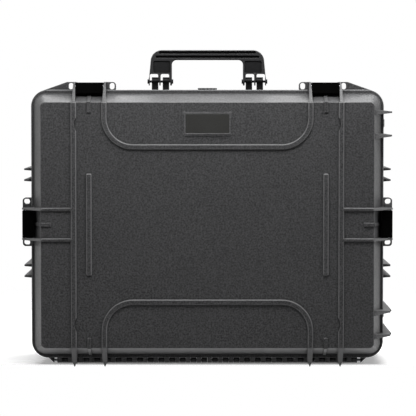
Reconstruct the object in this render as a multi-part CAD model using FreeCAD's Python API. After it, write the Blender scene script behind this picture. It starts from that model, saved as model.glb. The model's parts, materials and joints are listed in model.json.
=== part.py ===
import FreeCAD, Part
import math
import os

# A wheeled protective case standing on its hinge side, with its lid towards -Y.
# Sizes are in millimetres. +X is the wheel side and +Z the carrying-handle side.
# The origin is the middle of the footprint, on the floor.

# Overall envelope
OVERALL_WIDTH = 687.0
OVERALL_HEIGHT = 528.0
OVERALL_DEPTH = 276.0

# Shells
WALL = 4.0
LID_DEPTH = 55.0
LID_SLOPE = 15.4
BASE_DRAFT = 10.0
LID_RIB_HEIGHT = 3.0
RAIL_HEIGHT = 12.0
FOOT_HEIGHT = 15.0
GUARD_RISE = 14.6
SIDE_REACH = 16.5
FLANGE_SIDE = 5.0
FLANGE_FRONT = 7.5
FLANGE_HINGE = 7.0
FLANGE_THICK = 12.0
RIM_RADIUS = 31.0
WALL_CORNER = 21.0
LID_FACE_CORNER = 9.5
SMALLEST_CORNER = 6.0
MIDDLE_RAISE = 1.05
FACE_EDGE_RADIUS = 1.2
PANEL_EDGE_RADIUS = 8.0
FLANGE_EDGE_RADIUS = 1.5

# Gasket and its groove
GASKET_INSET = 3.5
GASKET_WIDTH = 4.0
GROOVE_DEPTH = 6.0
GASKET_SET_BACK = 1.5
SEAL_RIDGE_HEIGHT = 1.2
SEAL_RIDGE_WIDTH = 2.0

# Lid face
FACE_RIB_WIDTH = 10.5
U_RIB_WIDTH = 10.0
U_RIB_FROM_EDGE = 83.65
U_RIB_RADIUS = 53.0
RIB_EDGE_RADIUS = 2.0
CAPSULE_WIDTH = 10.5
CAPSULE_FROM_EDGE = 132.55
CAPSULE_CORNER = 2.6
SHORT_RIB_WIDTH = 7.0
SHORT_RIB_LENGTH = 19.0
SHORT_RIB_HEIGHT = 2.5
SIDE_RIB_WIDTH = 6.0
SCALLOP_FROM_EDGE = 42.05
SCALLOP_LENGTH = 26.0
SCALLOP_DEPTH = 4.5
PAD_WIDTH = 91.0
PAD_HEIGHT = 46.0
PAD_FROM_EDGE = 40.55
PAD_RAISE = 2.6
PAD_BEVEL = 3.0
PAD_CORNER = 4.5
PLATE_MARGIN = 5.5
PLATE_CORNER = 2.0
PLATE_THICKNESS = 0.8
PLATE_FIT = 0.2

# Latches
LATCH_FROM_SIDE = 125.6
LATCH_GUARD_HALF = 28.1
LATCH_WIDTH = 50.0
GUARD_ROOT_WIDTH = 7.0
GUARD_TIP_WIDTH = 3.2
BASE_GUARD_ROOT_WIDTH = 6.0
GUARD_CREST = 24.0
BASE_GUARD_LENGTH = 52.0
BASE_GUARD_RUN_OUT = 28.0
LATCH_PIVOT_Y = -26.0
LATCH_PIVOT_HEIGHT = 6.0
LATCH_PIN_RADIUS = 2.0
LATCH_BARREL_RADIUS = 6.2
LATCH_OUTER = 13.4
LATCH_INNER = 1.2
LATCH_LIP_THICK = 4.0
LATCH_LIP_DROP = 12.4
LEVER_PIVOT_Y = 14.5
LEVER_PIVOT_HEIGHT = 8.0
LEVER_PIN_RADIUS = 1.5
LEVER_KNUCKLE_RADIUS = 4.2
LEVER_KNUCKLE_HALF = 14.6
LEVER_SIDE_GAP = 0.4
LEVER_LENGTH = 37.5
LEVER_LIP_LENGTH = 9.0
LEVER_LIP_HEIGHT = 1.0
LEVER_TIP_THICK = 2.6
LEVER_BLADE_THICK = 3.8
TOE_DEPTH = 6.0
TOE_TIP_THICK = 4.2
TOE_GAP = 0.3
PIN_FIT = 0.05

# Padlock slots beside each latch
PADLOCK_NEAR = 35.3
PADLOCK_FAR = 41.0
PADLOCK_SLOT_WIDTH = 9.5
PADLOCK_SLOT_LOW = 1.0
PADLOCK_SLOT_HIGH = 12.9
PADLOCK_RING_WALL = 2.2
PADLOCK_TAB_RADIUS = 6.0
PADLOCK_RING_THICK = 8.0
RAMP_END_FROM_LATCH = 87.5
RAMP_END_DROP = 1.4

# Hinge
HINGE_END_MARGIN = 10.0
HINGE_GUSSET_LENGTH = 16.0
HINGE_PITCH = 20.0
LID_KNUCKLE_WIDTH = 8.4
KNUCKLE_SIDE_GAP = 0.4
KNUCKLE_RADIUS = 5.3
KNUCKLE_GAP = 0.4
KNUCKLE_SET_BACK = 1.0
HINGE_PIN_RADIUS = 2.5
HINGE_PIN_MIDDLE_GAP = 4.0

# Feet along the hinge side
FOOT_FROM_PARTING = 20.0
FOOT_TIP_WIDTH = 8.6
FOOT_POINT_WIDTH = 2.0
FOOT_POINT_HEIGHT = 6.5
LID_FOOT_FRONT = 34.0
LID_FOOT_CLEAR = 1.0
LID_FOOT_POINT_WIDTH = 1.2
LID_FOOT_POINT_HEIGHT = 11.0

# Carrying handle
LUG_FROM_MIDDLE = 88.0
LUG_HALF_SPACING = 10.2
LUG_THICKNESS = 12.0
FIN_FROM_MIDDLE = 90.0
LUG_RADIUS = 8.0
LUG_FOOT_HALF = 13.0
LUG_PLATE_HALF = 24.0
LUG_PLATE_MARGIN = 1.4
LUG_PLATE_THICK = 4.0
LUG_SCREW_FROM_MIDDLE = 18.0
HANDLE_FROM_PARTING = 42.0
HANDLE_PIVOT_RISE = 15.9
HANDLE_TOP_RISE = 74.6
HANDLE_GRIP_HEIGHT = 18.6
HANDLE_DEPTH = 15.0
HANDLE_HALF_TOP = 104.5
HANDLE_HALF_PIVOT = 110.0
HANDLE_OPENING_HALF = 66.6
HANDLE_OUTER_RADIUS = 21.0
HANDLE_INNER_RADIUS = 8.5
HANDLE_WINDOW_WIDTH = 16.0
HANDLE_WINDOW_RISE = 14.0
HANDLE_WINDOW_RADIUS = 3.0
HANDLE_PIN_RADIUS = 2.25
HANDLE_PIN_HEAD_RADIUS = 4.2
HANDLE_PIN_HEAD = 2.4
HANDLE_EDGE_RADIUS = 1.8
HANDLE_GROOVE_DEPTH = 3.6
HANDLE_UPPER_GROOVE = 5.0
HANDLE_LOWER_GROOVE = 4.8
HANDLE_RIDGE = 3.2
HANDLE_BORDER = 2.0
HANDLE_UPPER_GROOVE_HALF = 91.0
HANDLE_LOWER_GROOVE_HALF = 97.0
HANDLE_PANEL_DEPTH = 1.8
HANDLE_PANEL_BORDER = 3.0
HANDLE_PANEL_RADIUS = 3.0

# Pressure valve under the carrying handle
VALVE_BOSS_RADIUS = 24.0
VALVE_SEAT_RISE = 3.0
VALVE_FLANGE_RADIUS = 20.0
VALVE_FLANGE_THICK = 4.2
VALVE_STEM_RADIUS = 10.0
VALVE_SEAL_THICK = 1.5
VALVE_SEAL_RADIUS = 15.0
VALVE_KNOB_RADIUS = 18.0
VALVE_KNOB_NOTCHES = 16
VALVE_NOTCH_RADIUS = 1.5
VALVE_KNOB_HEIGHT = 4.0
VALVE_KNOB_GAP = 0.4
VALVE_SPIGOT_RADIUS = 5.0
VALVE_NUT_ACROSS = 30.0
VALVE_NUT_THICK = 6.0
VALVE_INNER_BOSS = 3.0

# Ribs along the base
SIDE_FIN_ROOT = 8.6
SIDE_FIN_TIP = 3.0
SIDE_FIN_START = 14.0
WHEEL_FIN_TIP = 3.0
LID_FIN_ROOT = 11.0
LID_FIN_SHORT = 3.5
FIN_RUN_OUT = 30.0

# Wheels
WHEEL_FROM_EDGE = 57.0
WHEEL_FIN_HALF = 21.8
WHEEL_FIN_THICKNESS = 6.0
WHEEL_RADIUS = 36.0
WHEEL_FROM_BACK = 38.0
WHEEL_WIDTH = 27.0
TYRE_THICKNESS = 8.0
TYRE_CROWN = 2.0
BEARING_OUTER_RADIUS = 11.0
BEARING_WIDTH = 7.0
AXLE_RADIUS = 4.0
AXLE_HEAD_RADIUS = 6.5
AXLE_HEAD_HEIGHT = 1.6
AXLE_ROOM = 2.0
SHIELD_GROOVE_DEPTH = 0.5
BEARING_RING = 2.0
HUB_RING_WALL = 3.5
HUB_WEB = 8.0
HUB_HOLES = 5
HUB_HOLE_RADIUS = 3.2
WASHER_RADIUS = 7.0
POCKET_BEHIND = 45.5
POCKET_BELOW = 42.0
POCKET_FIT = 0.3
BRACKET_CHEEK = 3.5
BRACKET_BASE = 4.0
BRACKET_AXLE_RADIUS = 12.0
SCREW_SHANK_RADIUS = 2.0
SCREW_HEAD_RADIUS = 4.0
SCREW_HEAD_HEIGHT = 2.6
SCREW_BITE = 7.0
SCREW_BOSS_RADIUS = 5.5
SCREW_BOSS_FLOOR = 1.5
SCREW_SOCKET_RADIUS = 1.4
SCREW_SOCKET_DEPTH = 1.4
BRACKET_SCREW_FROM_MIDDLE = 18.0

# Pull handle
RECESS_DEPTH = 10.0
RECESS_HALF = 88.0
RECESS_END_GAP = 15.0
TUBE_FROM_MIDDLE = 60.0
OUTER_TUBE_WIDE = 20.0
OUTER_TUBE_DEEP = 14.0
TUBE_WALL = 1.2
TUBE_FIT = 0.4
TUBE_CORNER = 3.0
TUBE_STAND_OFF = 1.0
TUBE_MOUTH_FROM_SIDE = 47.5
OUTER_TUBE_LENGTH = 426.0
INNER_TUBE_END_GAP = 14.0
BUSH_LENGTH = 8.0
BUSH_LIP = 2.0
BUSH_FIT = 0.35
PLUG_HEAD = 5.0
PLUG_SPIGOT = 7.0
CLAMP_WIDTH = 18.0
CLAMP_WALL = 3.0
CLAMP_EAR = 9.5
CLAMP_EAR_THICK = 5.0
CLAMP_FROM_END = 14.0
PULL_GRIP_HALF = 73.0
PULL_GRIP_SET_BACK = 0.3
PULL_GRIP_WIDE = 25.0
PULL_GRIP_DEEP = 24.0
PULL_GRIP_RADIUS = 7.0
PULL_GRIP_WALL = 4.0
PULL_GRIP_SPLIT = 12.0
BUTTON_HALF = 22.0
BUTTON_DEEP = 12.0
BUTTON_FIT = 0.4
BUTTON_CORNER = 1.8
BUTTON_EDGE_RADIUS = 1.2
YOKE_THICK = 4.0
YOKE_DEEP = 9.0
LOCK_ROD_RADIUS = 2.0
LOCK_ROD_SHORT = 30.0
SPRING_FROM_MIDDLE = 32.0
SPRING_FOLD = 5.0
SPRING_LEAF = 0.7
SPRING_DEEP = 6.0

# Back rails
RAIL_WIDTH = 12.0
RAIL_END_INSET = 6.0

EMBED = 1.0
BEYOND = 2.0

Vec = FreeCAD.Vector
ALONG_X = Vec(1, 0, 0)
ALONG_Y = Vec(0, 1, 0)
ALONG_Z = Vec(0, 0, 1)


class Outline:
    """A rounded rectangle across Y, even about X = 0."""

    def __init__(self, half_width, bottom, top, radius):
        self.half_width = half_width
        self.bottom = bottom
        self.top = top
        self.radius = radius

    def inset(self, by):
        radius = max(self.radius - by, SMALLEST_CORNER)
        return Outline(self.half_width - by, self.bottom + by, self.top - by, radius)

    def wire(self, y):
        low, high = self.bottom, self.top
        half = self.half_width
        corners = [Vec(-half, y, low), Vec(half, y, low), Vec(half, y, high), Vec(-half, y, high)]
        return rounded_wire(corners, [self.radius] * 4)

    def reach(self, side):
        """Distance from the case's centre line to this outline on a side."""
        if side == "front":
            return self.top - MID_Z
        if side == "hinge":
            return MID_Z - self.bottom
        return self.half_width


def rounded_wire(corners, radii):
    """Closed wire through the corners, each rounded by its radius. A radius of 0 keeps it sharp."""
    count = len(corners)
    starts, ends, middles = [], [], []
    for i in range(count):
        corner = corners[i]
        before = (corners[i - 1] - corner).normalize()
        after = (corners[(i + 1) % count] - corner).normalize()
        half_angle = before.getAngle(after) / 2
        step = radii[i] / math.tan(half_angle)
        starts.append(corner + before * step)
        ends.append(corner + after * step)
        inward = (before + after).normalize()
        middles.append(corner + inward * (radii[i] / math.sin(half_angle) - radii[i]))
    edges = []
    for i in range(count):
        if radii[i] > 0:
            edges.append(Part.Arc(starts[i], middles[i], ends[i]).toShape())
        following = starts[(i + 1) % count]
        if (following - ends[i]).Length > 1e-6:
            edges.append(Part.makeLine(ends[i], following))
    return Part.Wire(edges)


def prism(corners, along, radii=None):
    """Solid drawn by carrying a polygon along a vector."""
    wire = rounded_wire(corners, radii or [0] * len(corners))
    return Part.Face(wire).extrude(along)


def box(x, y, z):
    """Box from three (low, high) pairs."""
    return Part.makeBox(x[1] - x[0], y[1] - y[0], z[1] - z[0], Vec(x[0], y[0], z[0]))


def rod(radius, start, along):
    """Round bar from a point, as long as the vector."""
    return Part.makeCylinder(radius, along.Length, start, along)


def join(shapes):
    """One solid from pieces that overlap."""
    return shapes[0].multiFuse(shapes[1:]).removeSplitter()


def block(near, near_y, far, far_y):
    """Solid between two outlines."""
    return Part.makeLoft([near.wire(near_y), far.wire(far_y)], True, True)


def moved(shape, x, y, z):
    result = shape.copy()
    result.translate(Vec(x, y, z))
    return result


def mirrored(shape, point, normal):
    return shape.mirror(point, normal)


def rounded_at(shape, y, radius):
    """Rounds the edges that lie in the plane across Y."""
    edges = [e for e in shape.Edges if abs(e.BoundBox.YMin - y) < 1e-4 and abs(e.BoundBox.YMax - y) < 1e-4]
    return shape.makeFillet(radius, edges)


def on_side(shape, side):
    """Turns a shape onto a side. It is drawn on the front side, with Z counted from the centre line."""
    turns = {"front": 0, "right": 90, "hinge": 180, "left": -90}
    result = shape.copy()
    result.rotate(Vec(0, 0, 0), ALONG_Y, turns[side])
    result.translate(Vec(0, 0, MID_Z))
    return result


# Stations along Y
Y_FRONT = -OVERALL_DEPTH / 2
Y_FACE = Y_FRONT + LID_RIB_HEIGHT
Y_PART = Y_FACE + LID_DEPTH
Y_BACK = OVERALL_DEPTH / 2
Y_PANEL = Y_BACK - RAIL_HEIGHT

# Outlines
HALF_WIDTH = OVERALL_WIDTH / 2
RIM = Outline(HALF_WIDTH - SIDE_REACH, FOOT_HEIGHT, OVERALL_HEIGHT - GUARD_RISE, RIM_RADIUS)
WALL_RIM = Outline(
    RIM.half_width - FLANGE_SIDE,
    RIM.bottom + FLANGE_HINGE,
    RIM.top - FLANGE_FRONT,
    WALL_CORNER,
)
MID_Z = (RIM.bottom + RIM.top) / 2 + MIDDLE_RAISE
HALF_WALL_HEIGHT = (WALL_RIM.top - WALL_RIM.bottom) / 2
HALF_FACE_HEIGHT = HALF_WALL_HEIGHT - LID_SLOPE
FLANGE_Y = Y_PART - FLANGE_THICK
LATCH_X = HALF_WIDTH - LATCH_FROM_SIDE
HINGE_HALF_LENGTH = RIM.half_width - RIM_RADIUS - HINGE_END_MARGIN
WHEEL_FROM_MIDDLE = HALF_WALL_HEIGHT - WHEEL_FROM_EDGE
WHEEL_Y = Y_BACK - WHEEL_FROM_BACK
PAD_Z = MID_Z + HALF_FACE_HEIGHT - PAD_FROM_EDGE
SEAT_FRONT = OVERALL_HEIGHT - GUARD_RISE - MID_Z
SEAT_SIDE = HALF_WIDTH - GUARD_RISE
HINGE_Z = RIM.bottom - KNUCKLE_RADIUS - KNUCKLE_GAP
RIB_FROM_MIDDLE = (LATCH_X - LATCH_GUARD_HALF, LATCH_X + LATCH_GUARD_HALF)

# Name, side, place along the side and distance of the seat from the centre line
LATCHES = [
    ("front_left", "front", -LATCH_X, SEAT_FRONT),
    ("front_right", "front", LATCH_X, SEAT_FRONT),
    ("left", "left", 0.0, SEAT_SIDE),
    ("right", "right", 0.0, SEAT_SIDE),
]


def lid_outline(y):
    """Outside of the lid wall at a station. It slopes in front of the flange and is straight within it."""
    share = max(FLANGE_Y - y, 0) / (LID_DEPTH - FLANGE_THICK)
    outline = WALL_RIM.inset(LID_SLOPE * share)
    outline.radius = WALL_RIM.radius + (LID_FACE_CORNER - WALL_RIM.radius) * share
    return outline


def base_outline(y):
    """Outside of the base wall at a station."""
    return WALL_RIM.inset(BASE_DRAFT * (y - Y_PART) / (Y_PANEL - Y_PART))


def fin(section, profile):
    """Fin with a section across it, (t, n), and a profile along it, (y, n)."""
    low_y = min(y for y, n in profile)
    high_y = max(y for y, n in profile)
    low_t = min(t for t, n in section)
    high_t = max(t for t, n in section)
    across = prism([Vec(t, low_y, n) for t, n in section], Vec(0, high_y - low_y, 0))
    along = prism([Vec(low_t, y, n) for y, n in profile], Vec(high_t - low_t, 0, 0))
    return across.common(along)


def taper(root_width, root_n, tip_width, tip_n):
    """Section of a fin that narrows outwards."""
    root = root_width / 2
    tip = tip_width / 2
    return [(-root, root_n), (root, root_n), (tip, tip_n), (-tip, tip_n)]


def pointed(root_width, root_n, point_width, point_height, tip_n):
    """Section of a foot that ends in a blunt point."""
    root = root_width / 2
    shoulder = FOOT_TIP_WIDTH / 2
    point = point_width / 2
    shoulder_n = tip_n - point_height
    right = [(root, root_n), (shoulder, shoulder_n), (point, tip_n)]
    return right + [(-t, n) for t, n in reversed(right)]


def raised(corners, radii, top, edge_radius):
    """Rib on the lid face, with its upper edges rounded."""
    start = [Vec(x, Y_FACE + EMBED, z) for x, z in corners]
    solid = prism(start, Vec(0, top - Y_FACE - EMBED, 0), radii)
    return rounded_at(solid, top, edge_radius)


def bar(x, z, width, half_length, radius=0.0):
    """Corners and radii of an upright bar."""
    half = width / 2
    corners = [(x - half, z - half_length), (x + half, z - half_length)]
    corners += [(x + half, z + half_length), (x - half, z + half_length)]
    return corners, [radius] * 4


def u_rib(way):
    """The rib that joins the two inner ribs across the face, near the front (way 1) or the hinge (way -1)."""
    edge = lid_outline(Y_FACE).reach("front" if way > 0 else "hinge")
    half = U_RIB_WIDTH / 2
    outer_x = RIB_FROM_MIDDLE[0] + half
    inner_x = RIB_FROM_MIDDLE[0] - half
    low = HALF_FACE_HEIGHT - U_RIB_FROM_EDGE - half
    high = low + U_RIB_WIDTH
    points = [(-outer_x, edge), (-outer_x, low), (outer_x, low), (outer_x, edge)]
    points += [(inner_x, edge), (inner_x, high), (-inner_x, high), (-inner_x, edge)]
    corners = [(x, MID_Z + way * n) for x, n in points]
    wide = U_RIB_RADIUS + half
    tight = U_RIB_RADIUS - half
    return raised(corners, [0, wide, wide, 0, 0, tight, tight, 0], Y_FRONT, RIB_EDGE_RADIUS)


def outer_rib(x):
    """Rib over the full height of the face, with a scallop near each end."""
    face = lid_outline(Y_FACE)
    middle_z = (face.top + face.bottom) / 2
    corners, radii = bar(x, middle_z, FACE_RIB_WIDTH, (face.top - face.bottom) / 2)
    rib = raised(corners, radii, Y_FRONT, RIB_EDGE_RADIUS)
    radius = ((SCALLOP_LENGTH / 2) ** 2 + SCALLOP_DEPTH ** 2) / (2 * SCALLOP_DEPTH)
    inward = -1 if x > 0 else 1
    centre_x = x + inward * (FACE_RIB_WIDTH / 2 - SCALLOP_DEPTH + radius)
    for way in (-1, 1):
        start = Vec(centre_x, Y_FRONT - EMBED, MID_Z + way * (HALF_FACE_HEIGHT - SCALLOP_FROM_EDGE))
        rib = rib.cut(rod(radius, start, Vec(0, LID_RIB_HEIGHT + EMBED, 0)))
    return rib


def face_ribs():
    """All ribs that stand on the lid face."""
    face = lid_outline(Y_FACE)
    ribs = [u_rib(1), u_rib(-1)]
    capsule_half = HALF_FACE_HEIGHT - CAPSULE_FROM_EDGE
    outer_x = RIB_FROM_MIDDLE[1]
    side_length = face.half_width - outer_x
    for side in (-1, 1):
        ribs.append(outer_rib(side * outer_x))
        capsule = bar(side * LATCH_X, MID_Z, CAPSULE_WIDTH, capsule_half, CAPSULE_CORNER)
        ribs.append(raised(*capsule, Y_FRONT, RIB_EDGE_RADIUS))
        for way in (-1, 1):
            centre_x = side * (outer_x + side_length / 2)
            centre_z = MID_Z + way * LATCH_GUARD_HALF
            half = side_length / 2
            corners, radii = bar(centre_x, centre_z, 2 * half, SIDE_RIB_WIDTH / 2)
            ribs.append(raised(corners, radii, Y_FRONT, RIB_EDGE_RADIUS))
    return ribs


def pad_wire(shrink, y):
    """Outline of the name pad at a station, smaller all round by shrink."""
    corners, radii = bar(0, PAD_Z, PAD_WIDTH - 2 * shrink, PAD_HEIGHT / 2 - shrink, PAD_CORNER - shrink / 2)
    return rounded_wire([Vec(x, y, z) for x, z in corners], radii)


def name_pad():
    """Raised pad with bevelled sides, and the shallow pocket that the name plate lies in."""
    root = Part.Face(pad_wire(0, Y_FACE + EMBED)).extrude(Vec(0, -EMBED, 0))
    bevel = Part.makeLoft([pad_wire(0, Y_FACE), pad_wire(PAD_BEVEL, Y_FACE - PAD_RAISE)], True, True)
    return join([root, bevel]).cut(plate_solid(PLATE_FIT))


def plate_solid(fit):
    """The name plate, or the pocket for it when a fit is added around."""
    width = PAD_WIDTH - 2 * PLATE_MARGIN + 2 * fit
    half_height = PAD_HEIGHT / 2 - PLATE_MARGIN + fit
    corners, radii = bar(0, PAD_Z, width, half_height, PLATE_CORNER)
    bottom = Y_FACE - PAD_RAISE + PLATE_THICKNESS
    start = [Vec(x, bottom, z) for x, z in corners]
    return prism(start, Vec(0, -PLATE_THICKNESS, 0), radii)


def lid_guard(side):
    """Guard beside a latch: it starts as a face rib and rises over the sloped wall."""
    face_n = lid_outline(Y_FACE).reach(side)
    wall_n = WALL_RIM.reach(side)
    tip_n = RIM.reach(side) + (GUARD_RISE if side == "front" else SIDE_REACH)
    root_n = face_n - 3 * EMBED
    profile = [(Y_FRONT + RIB_EDGE_RADIUS / 2, root_n), (Y_FRONT + RIB_EDGE_RADIUS / 2, face_n)]
    profile += [(Y_PART - GUARD_CREST, tip_n), (Y_PART, tip_n)]
    profile += [(Y_PART, wall_n - EMBED), (Y_FACE + EMBED, root_n)]
    root_width = GUARD_ROOT_WIDTH if side == "front" else SIDE_RIB_WIDTH
    return fin(taper(root_width, root_n, GUARD_TIP_WIDTH, tip_n), profile)


def lid_foot():
    """Foot of a lid rib on the hinge side. It stops short of the parting plane so that the lid can swing."""
    face_n = lid_outline(Y_FACE).reach("hinge")
    end_y = Y_PART - FOOT_FROM_PARTING
    end_n = lid_outline(end_y).reach("hinge") - EMBED
    root_n = face_n - 3 * EMBED
    profile = [(Y_FRONT + RIB_EDGE_RADIUS / 2, root_n), (Y_FRONT + RIB_EDGE_RADIUS / 2, face_n)]
    tip_n = MID_Z - LID_FOOT_CLEAR
    profile += [(Y_PART - LID_FOOT_FRONT, tip_n), (end_y, tip_n), (end_y, end_n), (Y_FACE + EMBED, root_n)]
    section = pointed(FACE_RIB_WIDTH, root_n, LID_FOOT_POINT_WIDTH, LID_FOOT_POINT_HEIGHT, tip_n)
    return fin(section, profile)


def short_rib(side):
    """Short rib in the middle of a latch bay, from the face down the sloped wall to the flange."""
    face_n = lid_outline(Y_FACE).reach(side)
    end_y = FLANGE_Y + EMBED
    end_n = lid_outline(end_y).reach(side)
    top = Y_FRONT + RIB_EDGE_RADIUS / 2
    profile = [(top, face_n - SHORT_RIB_LENGTH), (top, face_n + EMBED)]
    profile += [(end_y, end_n + SHORT_RIB_HEIGHT), (end_y, end_n - EMBED)]
    profile += [(Y_FACE + EMBED, face_n - 2 * EMBED), (Y_FACE + EMBED, face_n - SHORT_RIB_LENGTH)]
    low_n = face_n - SHORT_RIB_LENGTH
    high_n = end_n + SHORT_RIB_HEIGHT
    return fin(taper(SHORT_RIB_WIDTH, low_n, SHORT_RIB_WIDTH * 0.8, high_n), profile)


def lid_wheel_fin():
    """Fin on the wheel side of the lid, in line with a wheel fin of the base."""
    face_n = lid_outline(Y_FACE).half_width
    root_n = face_n - EMBED
    tip_n = HALF_WIDTH - LID_FIN_SHORT
    profile = [(Y_FACE + 2 * EMBED, root_n), (Y_FACE + 2 * EMBED, face_n + 2 * EMBED)]
    profile += [(Y_PART - GUARD_CREST, tip_n), (Y_PART, tip_n)]
    profile += [(Y_PART, WALL_RIM.half_width - EMBED), (Y_FACE + 3 * EMBED, root_n)]
    return fin(taper(LID_FIN_ROOT, root_n, WHEEL_FIN_TIP, tip_n), profile)


def padlock_tab(seat, from_latch, has_ramp, low_y, high_y):
    """Tab beside a latch for a padlock slot, with the slot cut. The latch is at t = 0, the tab at +t."""
    inner_t = LATCH_GUARD_HALF
    outer_t = from_latch + PADLOCK_SLOT_WIDTH / 2 + PADLOCK_RING_WALL
    top_n = seat + PADLOCK_SLOT_HIGH + PADLOCK_RING_WALL - BEYOND / 4
    low_n = seat - SIDE_REACH / 2
    deep = Vec(0, high_y - low_y, 0)
    if has_ramp:
        end_n = seat - RAMP_END_DROP
        points = [(inner_t, low_n), (RAMP_END_FROM_LATCH, low_n), (RAMP_END_FROM_LATCH, end_n)]
        points += [(outer_t, top_n), (inner_t, top_n)]
        radii = [0, 0, 0, PADLOCK_TAB_RADIUS, 0]
    else:
        points = [(inner_t, low_n), (outer_t, low_n), (outer_t, top_n), (inner_t, top_n)]
        radii = [0, 0, PADLOCK_TAB_RADIUS, 0]
    return prism([Vec(t, low_y, n) for t, n in points], deep, radii)


def padlock_slot(seat, from_latch):
    """The slot through both shells, for the shackle of a padlock."""
    half = PADLOCK_SLOT_WIDTH / 2
    low_n, high_n = seat + PADLOCK_SLOT_LOW, seat + PADLOCK_SLOT_HIGH
    points = [(from_latch - half, low_n), (from_latch + half, low_n)]
    points += [(from_latch + half, high_n), (from_latch - half, high_n)]
    low_y = Y_PART - FLANGE_THICK - BEYOND
    deep = Vec(0, 2 * (FLANGE_THICK + BEYOND), 0)
    return prism([Vec(t, low_y, n) for t, n in points], deep, [half * 0.9] * 4)


def both_ways(shape):
    """A shape and its mirror image about t = 0."""
    return [shape, mirrored(shape, Vec(0, 0, 0), ALONG_X)]


def latch_bay(low_y, high_y, flange_low, flange_high):
    """Seats and padlock tabs of all latches, for one shell, and the slots to cut."""
    added, slots = [], []
    for name, side, place, seat in LATCHES:
        rim_n = RIM.reach(side)
        half = LATCH_GUARD_HALF
        if seat > rim_n:
            seat_pad = box((-half, half), (flange_low, flange_high), (rim_n - 2 * EMBED, seat))
            added.append(on_side(seat_pad, side))
        outward = 1 if place > 0 or side == "right" else -1
        for way in (-1, 1):
            ramp = side == "front" and way == outward
            from_latch = PADLOCK_NEAR if way == outward else PADLOCK_FAR
            tab = padlock_tab(seat, from_latch, ramp, low_y, high_y)
            slot = padlock_slot(seat, from_latch)
            if way < 0:
                tab = mirrored(tab, Vec(0, 0, 0), ALONG_X)
                slot = mirrored(slot, Vec(0, 0, 0), ALONG_X)
            added.append(on_side(moved(tab, place, 0, 0), side))
            slots.append(on_side(moved(slot, place, 0, 0), side))
    return added, slots


def knuckle_places(for_lid):
    """Low and high X of each hinge knuckle of one shell."""
    count = int(2 * HINGE_HALF_LENGTH / HINGE_PITCH)
    start = -count * HINGE_PITCH / 2
    places = []
    for i in range(count):
        low = start + i * HINGE_PITCH
        edge = low + LID_KNUCKLE_WIDTH
        if for_lid:
            places.append((low, edge))
        else:
            places.append((edge + KNUCKLE_SIDE_GAP, low + HINGE_PITCH - KNUCKLE_SIDE_GAP))
    return places


def knuckle(low, high, way):
    """One knuckle with its arm. The way is -1 for the lid, whose arms reach forward, and 1 for the base."""
    barrel = rod(KNUCKLE_RADIUS, Vec(low, Y_PART, HINGE_Z), Vec(high - low, 0, 0))
    near = Y_PART + way * KNUCKLE_GAP
    far = Y_PART + way * KNUCKLE_RADIUS
    if way < 0:
        far = FLANGE_Y + KNUCKLE_SET_BACK
    low_z = HINGE_Z - KNUCKLE_RADIUS / 2 if way < 0 else HINGE_Z
    arm = box((low, high), (min(near, far), max(near, far)), (low_z, RIM.bottom + 2 * EMBED))
    return barrel.fuse(arm)


def hinge_gussets():
    """Slanted webs of the base that close both ends of the hinge."""
    start = HINGE_HALF_LENGTH + KNUCKLE_SIDE_GAP
    low_y = Y_PART + KNUCKLE_GAP
    high_z = RIM.bottom + 4 * EMBED
    points = [(start, HINGE_Z - KNUCKLE_RADIUS), (start + HINGE_GUSSET_LENGTH, high_z), (start, high_z)]
    return both_ways(prism([Vec(x, low_y, z) for x, z in points], Vec(0, FLANGE_THICK - KNUCKLE_GAP, 0)))


def hinge_bore(radius):
    length = 2 * HINGE_HALF_LENGTH + 2 * BEYOND
    return rod(radius, Vec(-length / 2, Y_PART, HINGE_Z), Vec(length, 0, 0))


def lid_pin_holes():
    """Holes in the guards for the latch pivot pins."""
    length = 2 * LATCH_GUARD_HALF + GUARD_ROOT_WIDTH
    holes = []
    for name, side, place, seat in LATCHES:
        start = Vec(place - length / 2, Y_PART + LATCH_PIVOT_Y, seat + LATCH_PIVOT_HEIGHT)
        holes.append(on_side(rod(LATCH_PIN_RADIUS, start, Vec(length, 0, 0)), side))
    return holes


def gasket_ring(depth, back, extra):
    """Ring along the rim, at an extra width each side, from the parting plane less back, towards the lid."""
    outer = RIM.inset(GASKET_INSET - extra)
    inner = RIM.inset(GASKET_INSET + GASKET_WIDTH + extra)
    near_y, far_y = Y_PART - depth, Y_PART - back
    return block(outer, near_y, outer, far_y).cut(block(inner, near_y - BEYOND, inner, far_y + BEYOND))


def lid_cavity():
    """Space inside the lid: sloped in front of the flange and straight within it."""
    inside_y = Y_FACE + WALL
    mouth = WALL_RIM.inset(WALL)
    sloped = block(lid_outline(inside_y).inset(WALL), inside_y, mouth, FLANGE_Y)
    return sloped.fuse(block(mouth, FLANGE_Y, mouth, Y_PART + BEYOND))


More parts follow.
